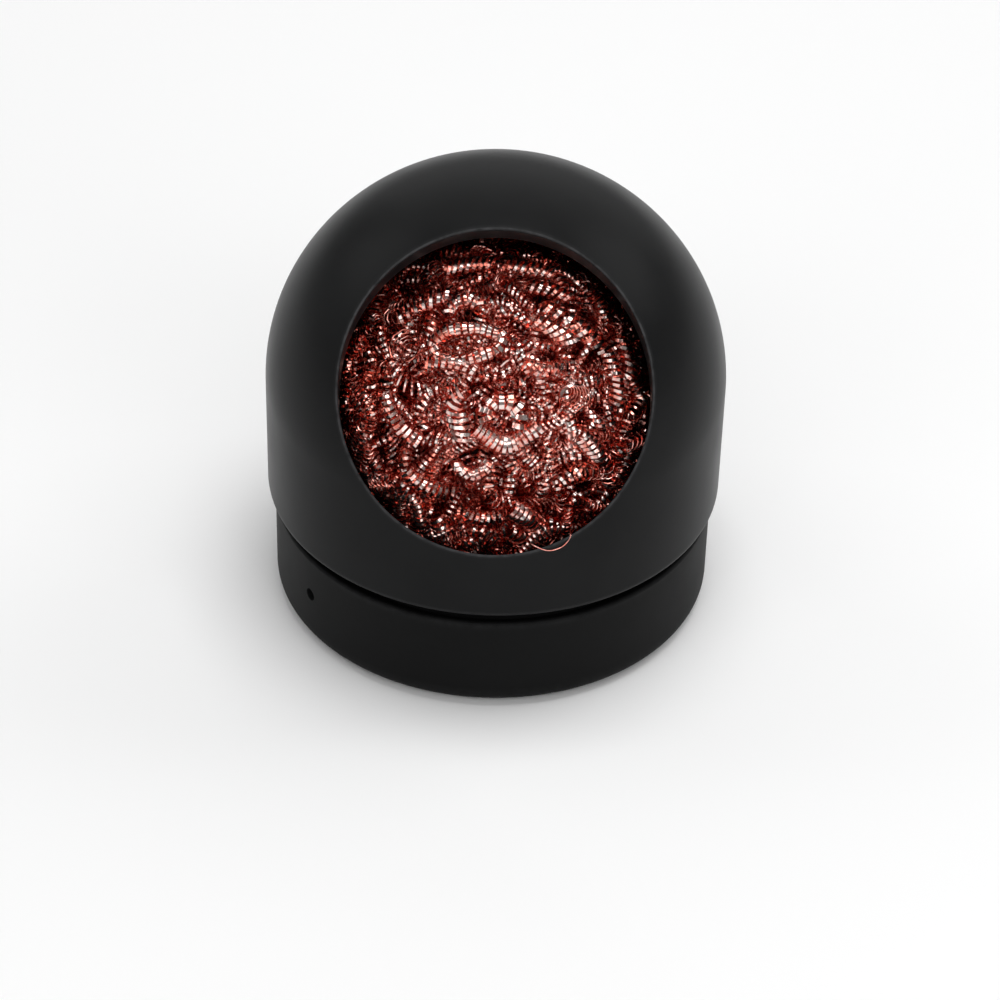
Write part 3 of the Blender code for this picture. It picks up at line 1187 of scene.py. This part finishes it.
@dataclass
class WireBall:
    """The ball of curled copper ribbon, built up from strands laid over one another.

    A room is the space that a curl gets, in curl radii. Waves over the ball are in radians per millimetre.
    """

    centre: Vector = field(default_factory=lambda: Vector((0.0, 0.0, 27.5 * MM)))
    reach: float = 23.2 * MM
    seat_z: float = 4.5 * MM
    low_stretch: float = 1.12
    face_pitch: float = math.radians(38.0)
    curl_radius: Pair = (0.55 * MM, 1.15 * MM)
    deep_curl_radius: Pair = (0.8 * MM, 1.4 * MM)
    pitch: Pair = (0.55 * MM, 0.95 * MM)
    ribbon_width: Pair = (0.2 * MM, 0.38 * MM)
    winding: Winding = Winding()
    collar: Collar = Collar()
    step: float = 0.4 * MM
    tightest_bend: float = 3.0 * MM
    strand_length: float = 44.0 * MM
    length_spread: Pair = (0.7, 1.2)
    taper: Pair = (0.8, 1.0)
    skew: Pair = (-0.7, 0.7)
    wander_waves: Pair = (0.08, 0.4)
    wander_bias: Pair = (-0.6, 0.6)
    weave: Pair = (0.4 * MM, 1.0 * MM)
    weave_wave: float = 0.55
    wander_room: float = 1.12
    laid_room: float = 1.15
    seat_room: float = 1.2
    over_strands: int = 112
    over_depth: float = 1.0 * MM
    under_strands: int = 66
    under_depth: Pair = (2.0 * MM, 4.0 * MM)
    deep_strands: int = 60
    deep_depth: Pair = (4.4 * MM, 6.2 * MM)
    face_sink: float = 1.0 * MM
    face_cap: Pair = (0.8, 1.0)
    edge_sink: float = 2.0 * MM
    edge_band: Pair = (16.2 * MM, 17.6 * MM)
    edge_lean: float = math.radians(50.0)
    loop_points: int = 90
    loop_dent: Wobble = Wobble(0.05, 1.0 / 3.0, 1.0)
    loop_ripple: Wobble = Wobble(0.03, 1.0 / 7.0, 0.0)
    row_points: int = 60
    row_skew: float = 0.5
    coil_points: int = 24
    coil_turns: float = 6.0
    coil_pitch: float = 0.4 * MM
    coil_width: float = 0.14 * MM
    coil_depth: float = 0.3 * MM
    inner_radius: float = 14.6 * MM
    inner_gap: float = 0.3 * MM
    lump_height: float = 0.022
    lump_waves: tuple[Triple, ...] = ((0.9, 0.0, 1.3), (-0.7, 1.1, 0.0), (0.0, 0.8, 1.2))
    seed: int = 41

    def settled(self, points: np.ndarray, margin: float) -> np.ndarray:
        """Draws points below the ball's middle down, and keeps them off the cup's floor.

        Args:
            points: Rows of points.
            margin: Least height over the floor.

        Returns:
            The moved points.
        """
        moved = points.copy()
        moved[:, 2] += (self.low_stretch - 1.0) * np.minimum(moved[:, 2] - self.centre.z, 0.0)
        moved[:, 2] = np.maximum(moved[:, 2], self.seat_z + margin)
        return moved

    def face_axes(self) -> tuple[np.ndarray, np.ndarray, np.ndarray]:
        """Right, up and outward axes of the side of the ball that shows in the mouth."""
        out = np.array((0.0, -math.cos(self.face_pitch), math.sin(self.face_pitch)))
        up = np.array((0.0, math.sin(self.face_pitch), math.cos(self.face_pitch)))
        return np.array((1.0, 0.0, 0.0)), up, out

    def edge_drop(self, way: np.ndarray, shell: float) -> float:
        """How far the ball falls back from the mouth's upper right edge, where the hood's wall shows past it.

        Args:
            way: Direction from the ball's middle.
            shell: Distance from the middle.

        Returns:
            The drop.
        """
        right, up, out = self.face_axes()
        if way @ out <= 0.0:
            return 0.0
        u, v = way @ right, way @ up
        band = ramp(shell * math.hypot(u, v), self.edge_band)
        return self.edge_sink * band * max(0.0, math.cos(math.atan2(v, u) - self.edge_lean))

    def wander(self, rng: np.random.Generator, start: np.ndarray, depth: float, curls: Pair) -> Strand:
        """Lays a strand that wanders over the ball, weaving in and out of its outer layer.

        Args:
            rng: The seeded source of chance.
            start: Direction from the ball's middle at which it starts.
            depth: Least distance from the ball's reach to the curls' outside.
            curls: Least and greatest radius of its curls.

        Returns:
            The strand.
        """
        curl = rng.uniform(*curls)
        shell = self.reach - depth - self.wander_room * curl - self.winding.thickness
        spin = rng.uniform(0.0, math.tau)
        normal = Vector(start).normalized()
        heading = normal.orthogonal().normalized()
        heading.rotate(Matrix.Rotation(spin, 3, normal))
        waves = rng.uniform(*self.wander_waves, 3)
        phases = rng.uniform(0.0, math.tau, 3)
        bias = rng.uniform(*self.wander_bias)
        weave = rng.uniform(*self.weave)
        front = Vector(self.face_axes()[2])
        line = []
        outward = []
        for k in range(int(self.strand_length * rng.uniform(*self.length_spread) / self.step)):
            s = k * self.step / MM
            sway = bias + float(np.sum(np.sin(waves * s + phases))) / 2.0
            bend = max(-1.0, min(1.0, sway)) / self.tightest_bend
            heading.rotate(Matrix.Rotation(bend * self.step, 3, normal))
            tilt = Matrix.Rotation(self.step / shell, 3, normal.cross(heading).normalized())
            normal.rotate(tilt)
            heading.rotate(tilt)
            sink = weave * (1.0 - math.cos(self.weave_wave * s + phases[0]))
            sink += self.face_sink * ramp(normal.dot(front), self.face_cap)
            sink += self.edge_drop(np.array(normal), shell)
            line.append(np.array(self.centre) + np.array(normal) * (shell - sink))
            outward.append(np.array(normal))
        return Strand(
            line=self.settled(np.array(line), self.seat_room * curl),
            outward=np.array(outward),
            curl_radii=(curl, rng.uniform(*self.taper) * curl),
            pitch=rng.uniform(*self.pitch),
            width=rng.uniform(*self.ribbon_width),
            hand=Hand.LEFT if rng.random() < 0.5 else Hand.RIGHT,
            phase=rng.uniform(0.0, math.tau),
            skew=rng.uniform(*self.skew),
        )

    def even_directions(self, count: int) -> np.ndarray:
        """Directions spread evenly over a sphere, as on a sunflower head."""
        k = np.arange(count) + 0.5
        height = 1.0 - 2.0 * k / count
        turn = math.pi * (1.0 + math.sqrt(5.0)) * k
        return about_z(np.sqrt(1.0 - height**2), turn, height)

    def on_face(self, spots: np.ndarray, shell: float) -> tuple[np.ndarray, np.ndarray]:
        """Lays face-plane spots, right and up of the ball's middle, on a sphere round that middle.

        Args:
            spots: Rows of right and up distances.
            shell: The sphere's radius.

        Returns:
            The points and their directions from the ball's middle.
        """
        right, up, out = self.face_axes()
        rise = np.sqrt(np.maximum(shell**2 - np.sum(spots**2, axis=1), 0.0))
        away = unit(spots[:, :1] * right + spots[:, 1:] * up + rise[:, None] * out)
        return np.array(self.centre) + away * shell, away

    def laid(self, spots: np.ndarray, curl: Curl, skew: float) -> Strand:
        """Lays a strand on the face along face-plane spots.

        Args:
            spots: Rows of right and up distances from the ball's middle.
            curl: How it is wound.
            skew: How far the curls lean along it.

        Returns:
            The strand.
        """
        radius = curl.radius * MM
        line, outward = self.on_face(spots, self.reach - self.laid_room * radius - self.winding.thickness)
        line = self.settled(line, self.seat_room * radius)
        phase = float(np.sum(spots[0])) / MM
        pitch = curl.pitch * MM
        return Strand(line, outward, (radius, radius), pitch, curl.width * MM, curl.hand, phase, skew)

    def loop(
        self, middle: Pair, sizes: Pair, tilt: float, span: Pair, curl: Curl, skew: float = 0.2
    ) -> Strand:
        """Lays a strand in part of an uneven oval on the face; lengths are in millimetres.

        Args:
            middle: The oval's middle, right and up of the ball's middle.
            sizes: Half its width and half its height.
            tilt: Its turn in degrees.
            span: First and last angle of the strand round the oval, in degrees.
            curl: How it is wound.
            skew: How far the curls lean along it.

        Returns:
            The strand.
        """
        angle = np.radians(np.linspace(*span, self.loop_points))
        stray = 1.0 + self.loop_dent.at(angle, tilt) + self.loop_ripple.at(angle, tilt)
        flat = np.column_stack((sizes[0] * stray * np.cos(angle), sizes[1] * stray * np.sin(angle)))
        c, s = math.cos(math.radians(tilt)), math.sin(math.radians(tilt))
        spots = flat @ np.array(((c, s), (-s, c))) + np.array(middle)
        return self.laid(spots * MM, curl, skew)

    def row(self, start: Pair, end: Pair, bow: float, curl: Curl) -> Strand:
        """Lays a strand along a bowed line on the face; lengths are in millimetres.

        Args:
            start: First end, right and up of the ball's middle.
            end: Second end.
            bow: How far its middle stands out to the left of the way from start to end.
            curl: How it is wound.

        Returns:
            The strand.
        """
        share = np.linspace(0.0, 1.0, self.row_points)[:, None]
        way = np.array(end) - np.array(start)
        left = np.array((-way[1], way[0])) / np.linalg.norm(way)
        spots = np.array(start) + way * share + left * bow * 4.0 * share * (1.0 - share)
        return self.laid(spots * MM, curl, self.row_skew)

    def coil(self, middle: Pair, radii: Pair, lean: Pair) -> Strand:
        """Lays a short coil that points out of the face, so that it shows as rings within rings.

        Args:
            middle: Its place, right and up of the ball's middle, in millimetres.
            radii: Radii of its innermost and outermost curls, in millimetres.
            lean: How far its outer end leans right and up, in millimetres.

        Returns:
            The strand.
        """
        right, up, _ = self.face_axes()
        top, away = self.on_face(np.array([middle]) * MM, self.reach - self.coil_depth)
        drop = np.linspace(self.coil_turns * self.coil_pitch, 0.0, self.coil_points)[:, None]
        share = 1.0 - drop / drop[0]
        line = top - away * drop + share * (lean[0] * right + lean[1] * up) * MM
        outward = np.repeat(unit(np.cross(away, right)), len(line), axis=0)
        curls = (radii[0] * MM, radii[1] * MM)
        return Strand(line, outward, curls, self.coil_pitch, self.coil_width, Hand.LEFT, 0.0, 0.0)

    def face_strands(self) -> list[Strand]:
        """The loops, rows and coils that stand out in the mouth."""
        left = Hand.LEFT
        return [
            self.loop((0.9, -3.5), (1.9, 1.8), 0.0, (205.0, -30.0), Curl(1.25, 0.95, 0.62), 0.1),
            self.loop((1.4, -1.6), (4.9, 4.8), 0.0, (225.0, 322.0), Curl(1.3, 0.62, 0.42), 0.1),
            self.loop((1.2, -3.2), (5.6, 5.2), 0.0, (146.0, 214.0), Curl(1.6, 0.78, 0.4, left), 0.5),
            self.loop((-3.5, 4.7), (4.1, 1.8), 8.0, (-40.0, 330.0), Curl(0.85, 0.78, 0.5)),
            self.loop((-2.3, -8.4), (2.1, 1.9), 0.0, (195.0, 345.0), Curl(0.8, 0.7, 0.45, left)),
            self.loop((-3.7, 8.6), (1.9, 1.2), 10.0, (-20.0, 200.0), Curl(1.0, 0.7, 0.35)),
            self.row((5.2, 9.5), (12.2, 4.6), 0.4, Curl(1.1, 1.1, 0.5)),
            self.row((3.6, 7.7), (8.6, 5.5), 0.4, Curl(1.0, 1.0, 0.45, left)),
            self.row((-11.6, 7.4), (-5.6, 10.4), 0.5, Curl(1.1, 0.95, 0.4)),
            self.row((1.5, -13.7), (6.4, -16.8), 0.3, Curl(1.25, 0.65, 0.4)),
            self.row((3.4, 2.6), (8.2, 2.4), -0.6, Curl(1.0, 0.8, 0.38, left)),
            self.row((-13.0, -1.0), (-8.6, -6.8), -0.8, Curl(1.1, 0.8, 0.4)),
            self.row((-10.4, -10.0), (-4.4, -12.4), -0.8, Curl(1.1, 0.85, 0.4, left)),
            self.row((9.4, -5.2), (13.6, -11.0), 0.8, Curl(1.2, 0.8, 0.4)),
            self.row((-8.2, 2.4), (-2.0, 1.4), 0.6, Curl(0.95, 0.85, 0.45)),
            self.row((7.6, -11.2), (13.2, -9.6), 0.6, Curl(1.0, 0.8, 0.36)),
            self.row((-3.6, -14.6), (1.2, -14.9), -0.5, Curl(0.95, 0.75, 0.34, left)),
            self.row((3.4, 11.8), (8.4, 10.2), 0.4, Curl(0.9, 0.8, 0.36)),
            self.row((14.2, 6.6), (15.6, 0.6), 0.5, Curl(1.0, 0.85, 0.4, left)),
            self.row((-16.2, -4.6), (-13.4, -9.8), -0.4, Curl(1.0, 0.8, 0.36)),
            self.row((-12.6, -11.2), (-8.2, -15.0), -0.3, Curl(1.05, 0.8, 0.38, left)),
            self.row((3.0, -16.9), (8.6, -15.6), -0.3, Curl(1.0, 0.85, 0.38)),
            self.row((9.0, -15.0), (13.6, -12.0), -0.4, Curl(0.95, 0.75, 0.36, left)),
            self.row((14.4, -10.6), (16.4, -5.4), -0.3, Curl(1.0, 0.8, 0.38)),
            self.row((12.8, 4.6), (14.3, -1.8), 0.5, Curl(0.9, 0.8, 0.36)),
            self.row((-6.4, 13.2), (-0.6, 14.4), 0.3, Curl(0.95, 0.8, 0.36, left)),
            self.row((0.8, 14.2), (6.4, 13.0), 0.3, Curl(0.9, 0.75, 0.36)),
            self.row((-16.1, 4.8), (-16.5, -0.6), -0.2, Curl(0.95, 0.8, 0.36)),
            self.coil((-10.9, 4.1), (0.5, 2.0), (0.2, 0.3)),
            self.coil((8.9, -0.2), (0.6, 1.9), (0.4, -1.2)),
        ]

    def ribbons(self, name: str, strands: list[Strand], nodes: tuple[str, ...]) -> Piece:
        """Makes one piece of several ribbons.

        Args:
            name: The piece's name.
            strands: Its strands.
            nodes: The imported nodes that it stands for.

        Returns:
            The piece.
        """
        verts: list[np.ndarray] = []
        quads: list[np.ndarray] = []
        rubs_and_highlights: list[np.ndarray] = []
        front = self.face_axes()[2]
        offset = 0
        for strand in strands:
            v, q, rub_and_highlight = self.winding.ribbon(strand, front)
            verts.append(v)
            quads.append(q + offset)
            rubs_and_highlights.append(rub_and_highlight)
            offset += len(v)
        obj = skin(name, np.concatenate(verts), np.concatenate(quads).tolist(), np.concatenate(rubs_and_highlights))
        return Piece(obj, "base", "copper_wire", nodes)

    def packed_inside(self) -> Piece:
        """Makes the lumpy packed middle, whose near-black red paints the shade that shows between the
        ribbons.

        Returns:
            The piece.
        """
        bm = bmesh.new()
        bmesh.ops.create_icosphere(bm, subdivisions=5, radius=self.inner_radius)
        for vert in bm.verts:
            p = vert.co / MM
            lump = sum(math.sin(a * p.x + b * p.y + c * p.z) for a, b, c in self.lump_waves)
            vert.co *= 1.0 + self.lump_height * lump
        bmesh.ops.translate(bm, verts=bm.verts, vec=self.centre)
        for vert, place in zip(bm.verts, self.settled(np.array([v.co for v in bm.verts]), self.inner_gap)):
            vert.co = place
        mesh = bpy.data.meshes.new("packed_inside")
        bm.to_mesh(mesh)
        bm.free()
        finish_mesh(mesh)
        return Piece(link("packed_inside", mesh), "base", "wire_tangle", ("wire_core",))

    def layer(self, rng: np.random.Generator, count: int, depths: Pair) -> list[Strand]:
        """Coarse strands below the ball's outside, each at its own depth.

        Args:
            rng: The seeded source of chance.
            count: Number of strands.
            depths: Least and greatest depth.

        Returns:
            The strands.
        """
        ways = self.even_directions(count)
        return [self.wander(rng, way, rng.uniform(*depths), self.deep_curl_radius) for way in ways]

    def build(self, hood: Hood) -> list[Piece]:
        """Builds the ball.

        Args:
            hood: The hood that it fills.

        Returns:
            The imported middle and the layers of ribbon.
        """
        rng = np.random.default_rng(self.seed)
        ways = self.even_directions(self.over_strands)
        over = [self.wander(rng, way, self.over_depth, self.curl_radius) for way in ways]
        under = self.layer(rng, self.under_strands, self.under_depth)
        deep = self.layer(rng, self.deep_strands, self.deep_depth)
        quarter = len(over) // 4
        half = len(under) // 2
        return [
            self.packed_inside(),
            self.ribbons("ribbon_deep_left", deep[::2], ("wire_core",)),
            self.ribbons("ribbon_deep_right", deep[1::2], ("wire_core",)),
            self.ribbons("ribbon_under_top", under[:half], ("wire_core",)),
            self.ribbons("ribbon_under_low", under[half:], ("wire_core",)),
            self.ribbons("ribbon_layer_top", over[:quarter], ("wire_strand_1",)),
            self.ribbons("ribbon_layer_upper", over[quarter : 2 * quarter], ("wire_strand_2",)),
            self.ribbons("ribbon_layer_lower", over[2 * quarter : 3 * quarter], ("wire_strand_3",)),
            self.ribbons("ribbon_layer_low", over[3 * quarter :], ("wire_core",)),
            self.ribbons("ribbon_collar", self.collar.laid(rng, hood, self), ("wire_core",)),
            self.ribbons("ribbon_face_loops", self.face_strands(), ("wire_strand_4",)),
        ]


@dataclass
class StrayWire:
    """A loose wire of the ball that has caught on the mouth's lower lip.

    Each spot has an angle in degrees round the mouth's axis, and a distance from it and a depth below the
    hood's outside in millimetres.
    """

    spots: tuple[Triple, ...] = (
        (-76.2, 16.8, 1.8),
        (-74.9, 17.35, 0.7),
        (-73.0, 17.94, 0.1),
        (-70.8, 18.48, -0.12),
        (-68.5, 18.81, -0.12),
        (-65.9, 18.93, -0.12),
        (-63.6, 18.9, -0.12),
        (-61.3, 18.67, -0.12),
        (-59.6, 18.3, 0.0),
        (-58.9, 18.0, 0.6),
        (-58.6, 17.6, 1.6),
    )
    radius: float = 0.065 * MM
    sides: int = 8
    steps: int = 5
    front: Triple = (0.0, -1.0, 0.3)
    wear_and_highlight: float = 0.3

    def line(self, hood: Hood) -> np.ndarray:
        """The wire's line, a smooth curve through its spots.

        Args:
            hood: The hood that it lies on.

        Returns:
            Rows of points.
        """
        points = [hood.rim(np.array([math.radians(a)]), r * MM, d * MM)[0][0] for a, r, d in self.spots]
        points = [2.0 * points[0] - points[1], *points, 2.0 * points[-1] - points[-2]]
        line = []
        for a, b, c, d in zip(points, points[1:], points[2:], points[3:]):
            for t in np.linspace(0.0, 1.0, self.steps + 1)[:-1]:
                bend = 2.0 * b + (c - a) * t + (2.0 * a - 5.0 * b + 4.0 * c - d) * t**2
                line.append((bend + (3.0 * b - a - 3.0 * c + d) * t**3) / 2.0)
        return np.array(line)

    def build(self, hood: Hood) -> Piece:
        """Builds the wire.

        Args:
            hood: The hood that it lies on.

        Returns:
            The wire as a piece of the hood's body.
        """
        line = self.line(hood)
        run = unit(np.gradient(line, axis=0))
        side = unit(np.cross(run, np.array(self.front)))
        rise = np.cross(side, run)
        angle = np.arange(self.sides) * math.tau / self.sides
        ring = np.cos(angle)[:, None, None] * side + np.sin(angle)[:, None, None] * rise
        rings = [line[k] + self.radius * ring[:, k] for k in range(len(line))]
        wire = loft("stray_wire", rings, [self.wear_and_highlight] * len(rings), Ends.CAPPED)
        return Piece(wire, "hood", "copper_wire", ())


# Studio


@dataclass(frozen=True)
class SoftBox:
    """A soft lamp: its place, the height on the part's axis that it faces, its size, and its watts."""

    name: str
    place: Triple
    target_z: float
    size: Pair
    power: float

    def hang(self) -> None:
        """Hangs the lamp."""
        data = bpy.data.lights.new(self.name, "AREA")
        data.shape = "RECTANGLE"
        data.size, data.size_y = self.size
        data.energy = self.power
        lamp = link(self.name, data)
        lamp.location = self.place
        way = Vector((0.0, 0.0, self.target_z)) - Vector(self.place)
        lamp.rotation_euler = way.to_track_quat("-Z", "Y").to_euler()


@dataclass
class Studio:
    """The pale floor, the soft lamps and the camera."""

    eye: Vector = field(default_factory=lambda: Vector((0.92, -331.6, 272.9)) * MM)
    aim: Vector = field(default_factory=lambda: Vector((0.92, 0.0, 10.44)) * MM)
    roll: float = math.radians(1.57)
    lens_mm: float = 121.4
    sensor_mm: float = 36.0
    clip_start: float = 0.01
    floor_half: float = 0.9
    floor_drop: float = 0.1 * MM
    floor_tone: Triple = (0.93, 0.93, 0.93)
    floor_roughness: float = 0.9
    floor_specular: float = 0.1
    world_strength: float = 0.2
    boxes: tuple[SoftBox, ...] = (
        SoftBox("top_box", (0.06, 0.02, 0.75), 0.0, (0.46, 0.36), 2.58),
        SoftBox("back_box", (0.1, 0.85, 0.48), 0.02, (1.3, 0.72), 1.85),
        SoftBox("left_back_box", (-0.7, 0.35, 0.6), 0.02, (0.55, 0.5), 1.12),
        SoftBox("right_back_box", (0.7, 0.35, 0.6), 0.02, (0.55, 0.5), 1.75),
        SoftBox("front_box", (0.0, -0.62, 0.66), 0.03, (0.6, 0.26), 1.17),
        SoftBox("left_box", (-0.46, -0.56, 0.38), 0.03, (0.46, 0.5), 0.88),
        SoftBox("right_box", (0.46, -0.56, 0.38), 0.03, (0.46, 0.5), 1.22),
    )

    def camera(self) -> None:
        """Sets the camera at the photograph's angle."""
        data = bpy.data.cameras.new("camera")
        data.lens = self.lens_mm
        data.sensor_width = self.sensor_mm
        data.clip_start = self.clip_start
        obj = link("camera", data)
        forward = (self.aim - self.eye).normalized()
        level = forward.cross(Vector((0.0, 0.0, 1.0))).normalized()
        rise = level.cross(forward)
        right = math.cos(self.roll) * level + math.sin(self.roll) * rise
        up = right.cross(forward)
        turn = Matrix((right, up, -forward)).transposed().to_4x4()
        obj.matrix_world = Matrix.Translation(self.eye) @ turn
        bpy.context.scene.camera = obj

    def floor(self) -> None:
        """Lays the pale floor."""
        mesh = bpy.data.meshes.new("floor")
        h = self.floor_half
        z = -self.floor_drop
        mesh.from_pydata([(-h, -h, z), (h, -h, z), (h, h, z), (-h, h, z)], [], [(0, 1, 2, 3)])
        material = bpy.data.materials.new("pale_floor")
        material.use_nodes = True
        shader = material.node_tree.nodes["Principled BSDF"]
        shader.inputs["Base Color"].default_value = (*self.floor_tone, 1.0)
        shader.inputs["Roughness"].default_value = self.floor_roughness
        shader.inputs["Specular IOR Level"].default_value = self.floor_specular
        mesh.materials.append(material)
        link("floor", mesh)

    def build(self) -> None:
        """Builds the whole studio."""
        self.camera()
        self.floor()
        for box in self.boxes:
            box.hang()
        world = bpy.data.worlds.new("studio")
        bpy.context.scene.world = world
        world.use_nodes = True
        world.node_tree.nodes["Background"].inputs["Color"].default_value = (1.0, 1.0, 1.0, 1.0)
        world.node_tree.nodes["Background"].inputs["Strength"].default_value = self.world_strength
        bpy.context.scene.view_settings.view_transform = "Standard"


def screw_axis() -> tuple[Vector, float]:
    """Direction and height of the set screw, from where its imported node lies.

    Returns:
        The direction, outwards, and the height.
    """
    low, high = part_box("set_screw")
    middle = (Vector(low) + Vector(high)) / 2.0
    return Vector((middle.x, middle.y, 0.0)).normalized(), middle.z


def main() -> None:
    """Builds the studio and every piece, and notes the model's size."""
    logging.basicConfig(level=logging.INFO, format="%(message)s")
    Studio().build()
    shelf = GroupShelf()
    black = SATIN_BLACK.material(shelf)
    base_black = SATIN_BLACK_BASE.material(shelf)
    rubber = BLACK_RUBBER.material(shelf)
    steel = BLACKENED_STEEL.material(shelf)
    copper = COPPER_RIBBON.material(shelf)
    deep = COPPER_SHADED_DEEP.material(shelf)
    shade = COPPER_SHADE.material(shelf)
    axis, height = screw_axis()
    hood = Hood()
    hood.build().place(black)
    Base().build(axis, height).place(base_black)
    SealRing().build().place(rubber)
    Foot().build().place(rubber)
    SetScrew().build(axis, height).place(steel)
    inside, deep_left, deep_right, *layers = WireBall().build(hood)
    inside.place(shade)
    deep_left.place(deep)
    deep_right.place(deep)
    for layer in layers:
        layer.place(copper)
    StrayWire().build(hood).place(copper)


if __name__ == "__main__":
    main()
